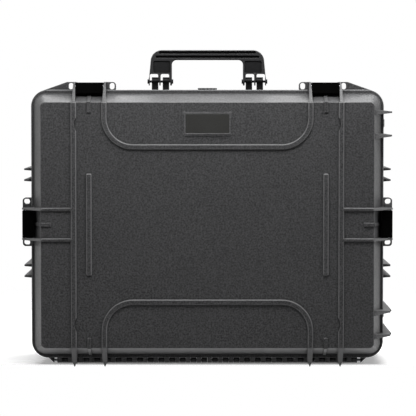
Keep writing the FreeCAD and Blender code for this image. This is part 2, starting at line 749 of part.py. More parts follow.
def lid_shell():
    """The lid: sloped walls, flange, ribs, guards, feet and knuckles."""
    face = lid_outline(Y_FACE)
    body = rounded_at(block(face, Y_FACE, WALL_RIM, FLANGE_Y), Y_FACE, FACE_EDGE_RADIUS)
    flange = rounded_at(block(RIM, FLANGE_Y, RIM, Y_PART), FLANGE_Y, FLANGE_EDGE_RADIUS)
    pieces = [body, flange] + face_ribs()
    for side_x in (-1, 1):
        for x in RIB_FROM_MIDDLE:
            pieces.append(on_side(moved(lid_guard("front"), side_x * x, 0, 0), "front"))
            pieces.append(on_side(moved(lid_foot(), side_x * x, 0, 0), "hinge"))
        pieces.append(on_side(moved(short_rib("front"), side_x * LATCH_X, 0, 0), "front"))
        pieces.append(on_side(moved(short_rib("hinge"), side_x * LATCH_X, 0, 0), "hinge"))
    for side in ("left", "right"):
        pieces.append(on_side(short_rib(side), side))
        for guard in both_ways(moved(lid_guard(side), LATCH_GUARD_HALF, 0, 0)):
            pieces.append(on_side(guard, side))
    for from_middle in (WHEEL_FROM_MIDDLE - WHEEL_FIN_HALF, WHEEL_FROM_MIDDLE + WHEEL_FIN_HALF):
        for wheel_fin in both_ways(moved(lid_wheel_fin(), from_middle, 0, 0)):
            pieces.append(on_side(wheel_fin, "right"))
    bays, slots = latch_bay(Y_PART - PADLOCK_RING_THICK, Y_PART, FLANGE_Y, Y_PART)
    pieces += bays
    pieces += [knuckle(low, high, -1) for low, high in knuckle_places(True)]
    cuts = [lid_cavity(), gasket_ring(GROOVE_DEPTH, -BEYOND, 0), hinge_bore(HINGE_PIN_RADIUS + PIN_FIT)]
    shell = join(pieces).cut(cuts + slots + lid_pin_holes())
    return shell.fuse(name_pad()).removeSplitter()


def lid_gasket():
    return gasket_ring(GROOVE_DEPTH, GASKET_SET_BACK, 0)


def hinge_pins():
    """Two rods that meet near the middle of the hinge."""
    length = HINGE_HALF_LENGTH - HINGE_PIN_MIDDLE_GAP / 2
    start = Vec(HINGE_PIN_MIDDLE_GAP / 2, Y_PART, HINGE_Z)
    right = rod(HINGE_PIN_RADIUS, start, Vec(length, 0, 0))
    return Part.makeCompound([mirrored(right, Vec(0, 0, 0), ALONG_X), right])


def base_fin(side, section_widths, start_y, tip_n, end_y):
    """Fin along the base wall, from a station near the rim to one near the back."""
    start_n = base_outline(start_y).reach(side) - EMBED
    end_n = base_outline(end_y).reach(side) - EMBED
    profile = [(start_y, start_n), (start_y, tip_n), (end_y - FIN_RUN_OUT, tip_n), (end_y, end_n + 3 * EMBED)]
    profile.append((end_y, end_n))
    root_width, tip_width = section_widths
    return fin(taper(root_width, end_n, tip_width, tip_n), profile)


def base_guard(side, seat):
    """Guard beside a latch on the base."""
    end_y = Y_PART + BASE_GUARD_LENGTH + BASE_GUARD_RUN_OUT
    end_n = base_outline(end_y).reach(side) - EMBED
    tip_n = seat + GUARD_RISE
    profile = [(Y_PART, WALL_RIM.reach(side) - EMBED), (Y_PART, tip_n), (Y_PART + BASE_GUARD_LENGTH, tip_n)]
    profile += [(end_y, end_n + 3 * EMBED), (end_y, end_n)]
    return fin(taper(BASE_GUARD_ROOT_WIDTH, end_n, GUARD_TIP_WIDTH, tip_n), profile)


def base_foot():
    """Foot of the base on the hinge side."""
    start_y = Y_PART + FOOT_FROM_PARTING
    end_y = Y_PANEL - PANEL_EDGE_RADIUS
    start_n = base_outline(start_y).reach("hinge") - EMBED
    end_n = base_outline(end_y).reach("hinge") - EMBED
    profile = [(start_y, start_n), (start_y, MID_Z), (end_y - FIN_RUN_OUT, MID_Z)]
    profile += [(end_y, end_n + 6 * EMBED), (end_y, end_n)]
    section = pointed(FACE_RIB_WIDTH, end_n, FOOT_POINT_WIDTH, FOOT_POINT_HEIGHT, MID_Z)
    return fin(section, profile)


HANDLE_Y = Y_PART + HANDLE_FROM_PARTING
HANDLE_PIVOT_Z = MID_Z + SEAT_FRONT + HANDLE_PIVOT_RISE
HANDLE_TOP_Z = MID_Z + SEAT_FRONT + HANDLE_TOP_RISE
LUG_PLATE_TOP = base_outline(HANDLE_Y).top + LUG_PLATE_THICK


def handle_lug(x):
    """Lug of the carrying handle with its eye."""
    half = LUG_THICKNESS / 2
    foot_z = LUG_PLATE_TOP - EMBED
    neck_z = HANDLE_PIVOT_Z - LUG_RADIUS
    near_y, far_y = HANDLE_Y - LUG_RADIUS, HANDLE_Y + LUG_RADIUS
    points = [(HANDLE_Y - LUG_FOOT_HALF, foot_z), (HANDLE_Y + LUG_FOOT_HALF, foot_z), (far_y, neck_z)]
    points += [(far_y, HANDLE_PIVOT_Z), (near_y, HANDLE_PIVOT_Z), (near_y, neck_z)]
    web = prism([Vec(x - half, y, z) for y, z in points], Vec(LUG_THICKNESS, 0, 0))
    return web.fuse(rod(LUG_RADIUS, Vec(x - half, HANDLE_Y, HANDLE_PIVOT_Z), Vec(LUG_THICKNESS, 0, 0)))


def handle_bracket(way):
    """Bracket on the wall: a plate with two lugs, on the right (way 1) or the left."""
    centre = way * LUG_FROM_MIDDLE
    half = LUG_HALF_SPACING + LUG_THICKNESS / 2 + LUG_PLATE_MARGIN
    low_y, high_y = HANDLE_Y - LUG_PLATE_HALF, HANDLE_Y + LUG_PLATE_HALF
    points = [(low_y, base_outline(low_y).top), (high_y, base_outline(high_y).top)]
    points += [(high_y, LUG_PLATE_TOP), (low_y, LUG_PLATE_TOP)]
    plate = prism([Vec(centre - half, y, z) for y, z in points], Vec(2 * half, 0, 0))
    lugs = [handle_lug(centre + step * LUG_HALF_SPACING) for step in (-1, 1)]
    bore = rod(HANDLE_PIN_RADIUS, Vec(centre - 2 * half, HANDLE_Y, HANDLE_PIVOT_Z), Vec(4 * half, 0, 0))
    above, deep = Vec(0, 0, 1.5 * LUG_PLATE_THICK), Vec(0, 0, -2 * LUG_PLATE_THICK)
    holes = [rod(SCREW_SHANK_RADIUS, place + above, deep) for place in lug_screw_places(way)]
    return join([plate] + lugs).cut([bore] + holes)


def lug_screw_places(way):
    """Points on the wall where the screws of a handle bracket go in."""
    places = []
    for step in (-1, 1):
        y = HANDLE_Y + step * LUG_SCREW_FROM_MIDDLE
        places.append(Vec(way * LUG_FROM_MIDDLE, y, base_outline(y).top))
    return places


def front_handle_brackets():
    return Part.makeCompound([handle_bracket(-1), handle_bracket(1)])


def front_handle_bracket_screws():
    screws = []
    for place in lug_screw_places(-1) + lug_screw_places(1):
        screws.append(screw(place, Vec(0, 0, -1), LUG_PLATE_TOP - place.z))
    return Part.makeCompound(screws)


def fin_places():
    """Places along a side where the ribs of the base stand."""
    near, far = FIN_FROM_MIDDLE - LUG_HALF_SPACING, FIN_FROM_MIDDLE + LUG_HALF_SPACING
    return [-far, -near, near, far]


def wheel_centre(way):
    """Middle of the upper (way 1) or lower (way -1) wheel."""
    return Vec(HALF_WIDTH - WHEEL_RADIUS, WHEEL_Y, MID_Z + way * WHEEL_FROM_MIDDLE)


POCKET_HALF = WHEEL_FIN_HALF - WHEEL_FIN_THICKNESS / 2


def wheel_pocket(way, grow):
    """Space for a wheel and its bracket, grown by the wall for the housing around it."""
    centre = wheel_centre(way)
    back_x = centre.x - POCKET_BEHIND - grow
    low_y = centre.y - POCKET_BELOW - grow
    half = POCKET_HALF + grow
    return box((back_x, HALF_WIDTH + BEYOND), (low_y, Y_BACK + BEYOND), (centre.z - half, centre.z + half))


def bracket_screw_places(way):
    """Points on the floor of a wheel pocket where a bracket screw goes in."""
    centre = wheel_centre(way)
    x = centre.x - POCKET_BEHIND
    middle_y = centre.y - POCKET_BELOW + POCKET_FIT + BRACKET_SCREW_FROM_MIDDLE / 2
    high_y = middle_y + 2 * BRACKET_SCREW_FROM_MIDDLE
    return [Vec(x, middle_y, centre.z), Vec(x, high_y, centre.z)]


def clamp_places():
    """Middle X of the two rows of tube clamps."""
    return [OUTER_TUBE_MOUTH_X + CLAMP_FROM_END, OUTER_TUBE_END_X - CLAMP_FROM_END]


OUTER_TUBE_MOUTH_X = TUBE_MOUTH_FROM_SIDE - HALF_WIDTH
OUTER_TUBE_END_X = OUTER_TUBE_MOUTH_X + OUTER_TUBE_LENGTH
RECESS_END_X = OUTER_TUBE_END_X + PLUG_HEAD + RECESS_END_GAP
PULL_GRIP_OUTER_X = PULL_GRIP_SET_BACK - HALF_WIDTH
RECESS_Y = Y_PANEL - RECESS_DEPTH
TUBE_Y = RECESS_Y + TUBE_STAND_OFF + OUTER_TUBE_DEEP / 2
CLAMP_SCREW_FROM_TUBE = OUTER_TUBE_WIDE / 2 + CLAMP_WALL + CLAMP_EAR / 2


def clamp_screw_places():
    """Points on the recess floor where a clamp screw goes in."""
    places = []
    for x in clamp_places():
        for way in (-1, 1):
            tube_z = MID_Z + way * TUBE_FROM_MIDDLE
            for step in (-CLAMP_SCREW_FROM_TUBE, CLAMP_SCREW_FROM_TUBE):
                places.append(Vec(x, RECESS_Y, tube_z + step))
    return places


def screw_boss(place, into):
    """Boss behind a wall that a screw bites into."""
    return rod(SCREW_BOSS_RADIUS, place, into * (SCREW_BITE + SCREW_BOSS_FLOOR))


def screw_hole(place, into):
    """Hole for a screw. It starts outside the wall, which may be sloped."""
    return rod(SCREW_SHANK_RADIUS, place - into * EMBED, into * (EMBED + SCREW_BITE))


def screw(place, into, grip):
    """Socket screw: the place is on the wall, and grip is the thickness that it clamps."""
    head_start = place - into * (grip + SCREW_HEAD_HEIGHT)
    head = rod(SCREW_HEAD_RADIUS, head_start, into * SCREW_HEAD_HEIGHT)
    shank = rod(SCREW_SHANK_RADIUS, place - into * (grip + EMBED), into * (grip + EMBED + SCREW_BITE))
    socket = rod(SCREW_SOCKET_RADIUS, head_start - into, into * (1 + SCREW_SOCKET_DEPTH))
    return head.fuse(shank).cut(socket).removeSplitter()


def back_rails():
    """Upright rails on the back panel. They stop above and below the pull-handle recess."""
    panel = base_outline(Y_PANEL)
    rails = []
    low = panel.bottom + RAIL_END_INSET + PANEL_EDGE_RADIUS
    gap_low = MID_Z - RECESS_HALF - RAIL_END_INSET
    for x in [way * rib_x for way in (-1, 1) for rib_x in RIB_FROM_MIDDLE]:
        rail = box((x - RAIL_WIDTH / 2, x + RAIL_WIDTH / 2), (Y_PANEL - EMBED, Y_BACK), (low, gap_low))
        rail = rounded_at(rail, Y_BACK, RIB_EDGE_RADIUS)
        rails += [rail, mirrored(rail, Vec(0, 0, MID_Z), ALONG_Z)]
    return rails


VALVE_Y = Y_PART + HANDLE_FROM_PARTING
VALVE_SEAT_Z = base_outline(VALVE_Y).top + VALVE_SEAT_RISE
VALVE_INSIDE_Z = base_outline(VALVE_Y).top - WALL - VALVE_INNER_BOSS


def base_ribs():
    """Everything that stands on the outside of the base."""
    ribs = []
    for name, side, place, seat in LATCHES:
        for way in (-1, 1):
            guard = moved(base_guard(side, seat), place + way * LATCH_GUARD_HALF, 0, 0)
            ribs.append(on_side(guard, side))
    for t in fin_places():
        for side in ("left", "right"):
            widths = (SIDE_FIN_ROOT, SIDE_FIN_TIP)
            long_fin = base_fin(side, widths, Y_PART + SIDE_FIN_START, HALF_WIDTH - EMBED, Y_PANEL - EMBED)
            ribs.append(on_side(moved(long_fin, t, 0, 0), side))
    for from_middle in (WHEEL_FROM_MIDDLE - WHEEL_FIN_HALF, WHEEL_FROM_MIDDLE + WHEEL_FIN_HALF):
        for way in (-1, 1):
            widths = (WHEEL_FIN_THICKNESS, WHEEL_FIN_TIP)
            wheel_fin = base_fin("right", widths, Y_PART, HALF_WIDTH, Y_PANEL - EMBED)
            ribs.append(on_side(moved(wheel_fin, way * from_middle, 0, 0), "right"))
    for way in (-1, 1):
        for x in RIB_FROM_MIDDLE:
            ribs.append(on_side(moved(base_foot(), way * x, 0, 0), "hinge"))
    return ribs + back_rails()


def base_shell():
    """The base: drafted walls, flange, ribs, feet, knuckles, bosses, pockets and recess."""
    panel = base_outline(Y_PANEL)
    body = rounded_at(block(WALL_RIM, Y_PART, panel, Y_PANEL), Y_PANEL, PANEL_EDGE_RADIUS)
    flange_y = Y_PART + FLANGE_THICK
    flange = rounded_at(block(RIM, Y_PART, RIM, flange_y), flange_y, FLANGE_EDGE_RADIUS)
    bays, slots = latch_bay(Y_PART, Y_PART + PADLOCK_RING_THICK, Y_PART, flange_y)
    pieces = [body, flange] + base_ribs() + bays
    pieces += [knuckle(low, high, 1) for low, high in knuckle_places(False)]
    pieces += hinge_gussets()
    boss_low = VALVE_INSIDE_Z + WALL
    pieces.append(rod(VALVE_BOSS_RADIUS, Vec(0, VALVE_Y, boss_low), Vec(0, 0, VALVE_SEAT_Z - boss_low)))
    outside = join(pieces)
    mouth_y = Y_PART - BEYOND
    floor_y = Y_PANEL - WALL
    cavity = block(base_outline(mouth_y).inset(WALL), mouth_y, base_outline(floor_y).inset(WALL), floor_y)
    cavity = rounded_at(cavity, floor_y, PANEL_EDGE_RADIUS - WALL / 2)
    shell = outside.cut([cavity, hinge_bore(HINGE_PIN_RADIUS)] + slots)
    return base_openings(join([shell, seal_ridge()] + base_insides(body)))


def base_insides(body):
    """Housings, recess floor and bosses inside the base, kept within its outside."""
    housings = [wheel_pocket(way, WALL).common(body) for way in (-1, 1)]
    half = RECESS_HALF + WALL
    recess = box((-HALF_WIDTH, RECESS_END_X + WALL), (RECESS_Y - WALL, Y_PANEL), (MID_Z - half, MID_Z + half))
    bosses = [screw_boss(place, Vec(0, -1, 0)) for place in clamp_screw_places()]
    for way in (-1, 1):
        bosses += [screw_boss(place, Vec(-1, 0, 0)) for place in bracket_screw_places(way)]
        bosses += [screw_boss(place - Vec(0, 0, EMBED), Vec(0, 0, -1)) for place in lug_screw_places(way)]
    inner_boss = rod(VALVE_BOSS_RADIUS, Vec(0, VALVE_Y, VALVE_INSIDE_Z), Vec(0, 0, WALL + VALVE_INNER_BOSS))
    return housings + [recess.common(body), inner_boss] + bosses


def base_openings(shell):
    """Cuts the wheel pockets, the recess, the valve hole and the screw holes."""
    cuts = [wheel_pocket(way, 0) for way in (-1, 1)]
    far = HALF_WIDTH + BEYOND
    recess_z = (MID_Z - RECESS_HALF, MID_Z + RECESS_HALF)
    cuts.append(box((-far, RECESS_END_X), (RECESS_Y, Y_BACK + BEYOND), recess_z))
    valve_length = VALVE_SEAT_Z - VALVE_INSIDE_Z + 2 * BEYOND
    cuts.append(rod(VALVE_STEM_RADIUS, Vec(0, VALVE_Y, VALVE_INSIDE_Z - BEYOND), Vec(0, 0, valve_length)))
    cuts += [screw_hole(place, Vec(0, -1, 0)) for place in clamp_screw_places()]
    for way in (-1, 1):
        cuts += [screw_hole(place, Vec(-1, 0, 0)) for place in bracket_screw_places(way)]
        cuts += [screw_hole(place, Vec(0, 0, -1)) for place in lug_screw_places(way)]
    return shell.cut(cuts)


def seal_ridge():
    """Ridge on the base rim that faces the gasket."""
    middle = GASKET_INSET + GASKET_WIDTH / 2
    outer = RIM.inset(middle - SEAL_RIDGE_WIDTH / 2)
    inner = RIM.inset(middle + SEAL_RIDGE_WIDTH / 2)
    near_y, far_y = Y_PART - SEAL_RIDGE_HEIGHT, Y_PART + EMBED
    return block(outer, near_y, outer, far_y).cut(block(inner, near_y - EMBED, inner, far_y + EMBED))


def across_latch(points, half):
    """Prism over the width of a latch from a (y, n) profile."""
    return prism([Vec(-half, y, n) for y, n in points], Vec(2 * half, 0, 0))


def latch_body():
    """Latch arm: it turns on the lid's pivot pin and carries the lever."""
    py, pn = LATCH_PIVOT_Y, LATCH_PIVOT_HEIGHT
    end_y = LEVER_PIVOT_Y + LEVER_KNUCKLE_RADIUS
    half = LATCH_WIDTH / 2
    points = [(py - LATCH_LIP_THICK, LATCH_OUTER), (end_y - LATCH_BARREL_RADIUS, LATCH_OUTER)]
    points.append((end_y, LEVER_PIVOT_HEIGHT + EMBED))
    points += [(end_y, LATCH_INNER + EMBED), (end_y - EMBED, LATCH_INNER)]
    points += [(py + LATCH_BARREL_RADIUS, LATCH_INNER), (py, pn - LATCH_BARREL_RADIUS)]
    arm = across_latch(points, half)
    barrel = rod(LATCH_BARREL_RADIUS, Vec(-half, py, pn), Vec(LATCH_WIDTH, 0, 0))
    lip_y = py - LATCH_BARREL_RADIUS
    lip_n = pn - LATCH_LIP_DROP
    lip_points = [(lip_y, lip_n), (lip_y + LATCH_LIP_THICK, lip_n), (lip_y + LATCH_LIP_THICK, LATCH_OUTER)]
    lip_points.append((lip_y, LATCH_OUTER))
    solid = join([arm, barrel, across_latch(lip_points, half)])
    bore_start = Vec(-half - BEYOND, py, pn)
    length = Vec(LATCH_WIDTH + 2 * BEYOND, 0, 0)
    bore = rod(LATCH_PIN_RADIUS + PIN_FIT, bore_start, length)
    lever_start = Vec(-half - BEYOND, LEVER_PIVOT_Y, LEVER_PIVOT_HEIGHT)
    lever_bore = rod(LEVER_PIN_RADIUS, lever_start, length)
    notch_half = LEVER_KNUCKLE_HALF + LEVER_SIDE_GAP
    notch_y = LEVER_PIVOT_Y - LEVER_KNUCKLE_RADIUS - 4 * LEVER_SIDE_GAP
    notch = box((-notch_half, notch_half), (notch_y, end_y + BEYOND), (-BEYOND, LATCH_OUTER + BEYOND))
    return solid.cut([bore, lever_bore, notch])


def latch_lever():
    """Release lever with the toe that holds behind the base flange."""
    py, pn = LEVER_PIVOT_Y, LEVER_PIVOT_HEIGHT
    toe_y = FLANGE_THICK + TOE_GAP
    knuckle_half = LEVER_KNUCKLE_HALF
    barrel = rod(LEVER_KNUCKLE_RADIUS, Vec(-knuckle_half, py, pn), Vec(2 * knuckle_half, 0, 0))
    toe_end_y = toe_y + TOE_TIP_THICK
    toe_points = [(toe_y, pn), (toe_y, -TOE_DEPTH), (toe_end_y, -TOE_DEPTH), (toe_end_y + EMBED, pn)]
    toe = across_latch(toe_points, knuckle_half)
    neck_y = py + LEVER_KNUCKLE_RADIUS + 4 * LEVER_SIDE_GAP
    top = pn + LEVER_KNUCKLE_RADIUS
    join_y = neck_y + EMBED
    neck_points = [(py, top), (join_y, top), (join_y, pn - EMBED), (py, pn - 2 * EMBED)]
    neck = across_latch(neck_points, knuckle_half)
    end_y = py + LEVER_LENGTH
    lip_y = end_y - LEVER_LIP_LENGTH
    tip = top + LEVER_LIP_HEIGHT
    tail = [(neck_y, top), (lip_y, top), (end_y, tip), (end_y, tip - LEVER_TIP_THICK)]
    tail += [(lip_y, top - LEVER_BLADE_THICK), (neck_y + 2 * EMBED, pn - EMBED), (neck_y, pn - EMBED)]
    blade = across_latch(tail, LATCH_WIDTH / 2)
    bore_half = knuckle_half + BEYOND
    bore = rod(LEVER_PIN_RADIUS + PIN_FIT, Vec(-bore_half, py, pn), Vec(2 * bore_half, 0, 0))
    return join([barrel, toe, neck, blade]).cut(bore)


def latch_pivot_pin():
    half = LATCH_GUARD_HALF + GUARD_TIP_WIDTH / 2
    return rod(LATCH_PIN_RADIUS, Vec(-half, LATCH_PIVOT_Y, LATCH_PIVOT_HEIGHT), Vec(2 * half, 0, 0))


def latch_lever_pin():
    half = LATCH_WIDTH / 2
    return rod(LEVER_PIN_RADIUS, Vec(-half, LEVER_PIVOT_Y, LEVER_PIVOT_HEIGHT), Vec(2 * half, 0, 0))


def at_latch(shape, latch):
    """Puts a latch piece in its bay."""
    name, side, place, seat = latch
    return on_side(moved(shape, place, Y_PART, seat), side)


def handle_prongs():
    """Low and high X of the three prongs of the right leg."""
    near, far = LUG_FROM_MIDDLE - LUG_HALF_SPACING, LUG_FROM_MIDDLE + LUG_HALF_SPACING
    half = HANDLE_WINDOW_WIDTH / 2
    return [(HANDLE_OPENING_HALF, near - half), (near + half, far - half), (far + half, HANDLE_HALF_PIVOT)]


def handle_bow():
    """Bow of the handle, with its edges rounded on both faces."""
    low = HANDLE_PIVOT_Z
    grip_low = HANDLE_TOP_Z - HANDLE_GRIP_HEIGHT
    corners = [(-HANDLE_HALF_PIVOT, low), (-HANDLE_HALF_TOP, HANDLE_TOP_Z), (HANDLE_HALF_TOP, HANDLE_TOP_Z)]
    corners += [(HANDLE_HALF_PIVOT, low), (HANDLE_OPENING_HALF, low), (HANDLE_OPENING_HALF, grip_low)]
    corners += [(-HANDLE_OPENING_HALF, grip_low), (-HANDLE_OPENING_HALF, low)]
    outer, inner = HANDLE_OUTER_RADIUS, HANDLE_INNER_RADIUS
    near_y, far_y = HANDLE_Y - HANDLE_DEPTH / 2, HANDLE_Y + HANDLE_DEPTH / 2
    radii = [0, outer, outer, 0, 0, inner, inner, 0]
    bow = prism([Vec(x, near_y, z) for x, z in corners], Vec(0, HANDLE_DEPTH, 0), radii)
    return rounded_at(rounded_at(bow, near_y, HANDLE_EDGE_RADIUS), far_y, HANDLE_EDGE_RADIUS)


def handle_windows():
    """Gaps in the legs where the lugs stand."""
    half = HANDLE_WINDOW_WIDTH / 2
    low, high = HANDLE_PIVOT_Z - 2 * LUG_RADIUS, HANDLE_PIVOT_Z + HANDLE_WINDOW_RISE
    windows = []
    for x in fin_places():
        corners = [(x - half, low), (x + half, low), (x + half, high), (x - half, high)]
        start = [Vec(cx, HANDLE_Y - HANDLE_DEPTH, z) for cx, z in corners]
        radius = HANDLE_WINDOW_RADIUS
        windows.append(prism(start, Vec(0, 2 * HANDLE_DEPTH, 0), [0, 0, radius, radius]))
    return windows


def on_both_faces(corners, depth, radius):
    """Shallow cut of one outline, (x, z), into the front and the back of the handle."""
    cuts = []
    for way in (-1, 1):
        y = HANDLE_Y + way * (HANDLE_DEPTH / 2 - depth)
        start = [Vec(x, y, z) for x, z in corners]
        cuts.append(prism(start, Vec(0, way * (depth + BEYOND), 0), [radius] * len(corners)))
    return cuts


def handle_grooves():
    """Two long grooves along the grip, with a ridge between them."""
    high = HANDLE_TOP_Z - HANDLE_BORDER
    cuts = []
    grooves = [(HANDLE_UPPER_GROOVE, HANDLE_UPPER_GROOVE_HALF)]
    grooves.append((HANDLE_LOWER_GROOVE, HANDLE_LOWER_GROOVE_HALF))
    for height, half in grooves:
        corners = [(-half, high - height), (half, high - height), (half, high), (-half, high)]
        cuts += on_both_faces(corners, HANDLE_GROOVE_DEPTH, height * 0.4)
        high -= height + HANDLE_RIDGE
    return cuts


def handle_panels():
    """Shallow panels in the legs, inside a border."""
    low = HANDLE_PIVOT_Z + HANDLE_WINDOW_RISE + HANDLE_PANEL_BORDER / 2
    high = HANDLE_TOP_Z - HANDLE_GRIP_HEIGHT - HANDLE_PANEL_BORDER / 2
    inner = HANDLE_OPENING_HALF + HANDLE_PANEL_BORDER
    outer = HANDLE_HALF_TOP - HANDLE_PANEL_BORDER
    cuts = []
    for way in (-1, 1):
        corners = [(way * inner, low), (way * outer, low), (way * outer, high), (way * inner, high)]
        cuts += on_both_faces(corners, HANDLE_PANEL_DEPTH, HANDLE_PANEL_RADIUS)
    return cuts


def front_handle():
    """Carrying handle in one piece: a grooved bow with two forked legs."""
    eyes = []
    for low_x, high_x in handle_prongs():
        eye = rod(HANDLE_DEPTH / 2, Vec(low_x, HANDLE_Y, HANDLE_PIVOT_Z), Vec(high_x - low_x, 0, 0))
        eyes += both_ways(eye)
    bore_half = HANDLE_HALF_PIVOT + BEYOND
    bore_start = Vec(-bore_half, HANDLE_Y, HANDLE_PIVOT_Z)
    bore = rod(HANDLE_PIN_RADIUS + PIN_FIT, bore_start, Vec(2 * bore_half, 0, 0))
    cuts = [bore] + handle_windows() + handle_grooves() + handle_panels()
    return join([handle_bow()] + eyes).cut(cuts)


def front_handle_pins():
    """Pins through the lugs, with a round head at both ends."""
    start = Vec(HANDLE_OPENING_HALF - HANDLE_PIN_HEAD, HANDLE_Y, HANDLE_PIVOT_Z)
    end = Vec(HANDLE_HALF_PIVOT + HANDLE_PIN_HEAD, HANDLE_Y, HANDLE_PIVOT_Z)
    head = Vec(HANDLE_PIN_HEAD - PIN_FIT, 0, 0)
    pieces = [rod(HANDLE_PIN_RADIUS, start, end - start)]
    pieces += [rod(HANDLE_PIN_HEAD_RADIUS, start, head), rod(HANDLE_PIN_HEAD_RADIUS, end - head, head)]
    return Part.makeCompound(both_ways(join(pieces)))


def valve_body():
    """Flange outside the wall, a threaded stem through it and a spigot for the knob."""
    flange_z = VALVE_SEAT_Z + VALVE_SEAL_THICK
    top_z = flange_z + VALVE_FLANGE_THICK
    flange = rod(VALVE_FLANGE_RADIUS, Vec(0, VALVE_Y, flange_z), Vec(0, 0, VALVE_FLANGE_THICK))
    low_z = VALVE_INSIDE_Z - VALVE_NUT_THICK - EMBED
    stem = rod(VALVE_STEM_RADIUS, Vec(0, VALVE_Y, low_z), Vec(0, 0, top_z - low_z - EMBED))
    spigot_height = VALVE_KNOB_GAP + VALVE_KNOB_HEIGHT / 2 + EMBED
    spigot = rod(VALVE_SPIGOT_RADIUS, Vec(0, VALVE_Y, top_z - EMBED), Vec(0, 0, spigot_height))
    vent = rod(VALVE_SPIGOT_RADIUS / 2, Vec(0, VALVE_Y, low_z - 1), Vec(0, 0, top_z + VALVE_KNOB_HEIGHT))
    return join([flange, stem, spigot]).cut(vent)


def valve_seal():
    start = Vec(0, VALVE_Y, VALVE_SEAT_Z)
    thick = Vec(0, 0, VALVE_SEAL_THICK)
    return rod(VALVE_SEAL_RADIUS, start, thick).cut(rod(VALVE_STEM_RADIUS, start, thick))


def valve_nut():
    """Hexagon nut inside the wall."""
    radius = VALVE_NUT_ACROSS / math.sqrt(3)
    low_z = VALVE_INSIDE_Z - VALVE_NUT_THICK
    angles = [math.radians(60 * i) for i in range(6)]
    corners = [Vec(radius * math.cos(a), VALVE_Y + radius * math.sin(a), low_z) for a in angles]
    nut = prism(corners, Vec(0, 0, VALVE_NUT_THICK))
    return nut.cut(rod(VALVE_STEM_RADIUS, Vec(0, VALVE_Y, low_z), Vec(0, 0, VALVE_NUT_THICK)))


def valve_knob():
    """Round knob with grip notches. It turns on the spigot."""
    low_z = VALVE_SEAT_Z + VALVE_SEAL_THICK + VALVE_FLANGE_THICK + VALVE_KNOB_GAP
    knob = rod(VALVE_KNOB_RADIUS, Vec(0, VALVE_Y, low_z), Vec(0, 0, VALVE_KNOB_HEIGHT))
    bore_height = VALVE_KNOB_HEIGHT / 2 + KNUCKLE_GAP
    cuts = [rod(VALVE_SPIGOT_RADIUS + PIN_FIT, Vec(0, VALVE_Y, low_z), Vec(0, 0, bore_height))]
    for i in range(VALVE_KNOB_NOTCHES):
        angle = math.radians(360 * i / VALVE_KNOB_NOTCHES)
        x = VALVE_KNOB_RADIUS * math.cos(angle)
        y = VALVE_Y + VALVE_KNOB_RADIUS * math.sin(angle)
        cuts.append(rod(VALVE_NOTCH_RADIUS, Vec(x, y, low_z), Vec(0, 0, VALVE_KNOB_HEIGHT)))
    return knob.cut(cuts)


def disc(centre, radius, half):
    """Disc about a wheel's axis."""
    return rod(radius, centre - Vec(0, 0, half), Vec(0, 0, 2 * half))


def wheel_tyre(way):
    """Tyre with a crowned tread."""
    centre = wheel_centre(way)
    half = WHEEL_WIDTH / 2
    inner = WHEEL_RADIUS - TYRE_THICKNESS
    shoulder = WHEEL_RADIUS - TYRE_CROWN
    start = centre + Vec(inner, 0, -half)
    points = [start, centre + Vec(shoulder, 0, -half), centre + Vec(WHEEL_RADIUS, 0, 0)]
    points += [centre + Vec(shoulder, 0, half), centre + Vec(inner, 0, half)]
    edges = [Part.makeLine(points[0], points[1]), Part.Arc(points[1], points[2], points[3]).toShape()]
    edges += [Part.makeLine(points[3], points[4]), Part.makeLine(points[4], points[0])]
    return Part.Face(Part.Wire(edges)).revolve(centre, ALONG_Z, 360)


def wheel_hub(way):
    """Hub: an outer ring, a web with holes and seats for two bearings."""
    centre = wheel_centre(way)
    half = WHEEL_WIDTH / 2
    rim_radius = WHEEL_RADIUS - TYRE_THICKNESS
    hub = disc(centre, rim_radius, half)
    boss_radius = BEARING_OUTER_RADIUS + HUB_RING_WALL
    hollow_half = (half - HUB_WEB / 2) / 2
    cuts = []
    for step in (-1, 1):
        middle = centre + Vec(0, 0, step * (half - hollow_half + BEYOND / 2))
        ring = disc(middle, rim_radius - HUB_RING_WALL, hollow_half + BEYOND / 2)
        cuts.append(ring.cut(disc(middle, boss_radius, hollow_half + BEYOND)))
        seat = centre + Vec(0, 0, step * (half - BEARING_WIDTH / 2 + BEYOND / 2))
        cuts.append(disc(seat, BEARING_OUTER_RADIUS, BEARING_WIDTH / 2 + BEYOND / 2))
    cuts.append(disc(centre, AXLE_RADIUS + AXLE_ROOM, half))
    reach = (boss_radius + rim_radius - HUB_RING_WALL) / 2
    for i in range(HUB_HOLES):
        angle = math.radians(360 * i / HUB_HOLES)
        place = centre + Vec(reach * math.cos(angle), reach * math.sin(angle), 0)
        cuts.append(disc(place, HUB_HOLE_RADIUS, half))
    return hub.cut(cuts)


def wheel_bearings(way):
    """Two ball bearings as plain rings, with a shield groove on the outer face."""
    centre = wheel_centre(way)
    rings = []
    for step in (-1, 1):
        middle = centre + Vec(0, 0, step * (WHEEL_WIDTH / 2 - BEARING_WIDTH / 2))
        ring = disc(middle, BEARING_OUTER_RADIUS, BEARING_WIDTH / 2)
        ring = ring.cut(disc(middle, AXLE_RADIUS + PIN_FIT, BEARING_WIDTH))
        face = middle + Vec(0, 0, step * BEARING_WIDTH / 2)
        groove = disc(face, BEARING_OUTER_RADIUS - BEARING_RING, SHIELD_GROOVE_DEPTH)
        groove = groove.cut(disc(face, AXLE_RADIUS + BEARING_RING, 2 * SHIELD_GROOVE_DEPTH))
        rings.append(ring.cut(groove))
    return Part.makeCompound(rings)


BRACKET_HALF = POCKET_HALF - POCKET_FIT


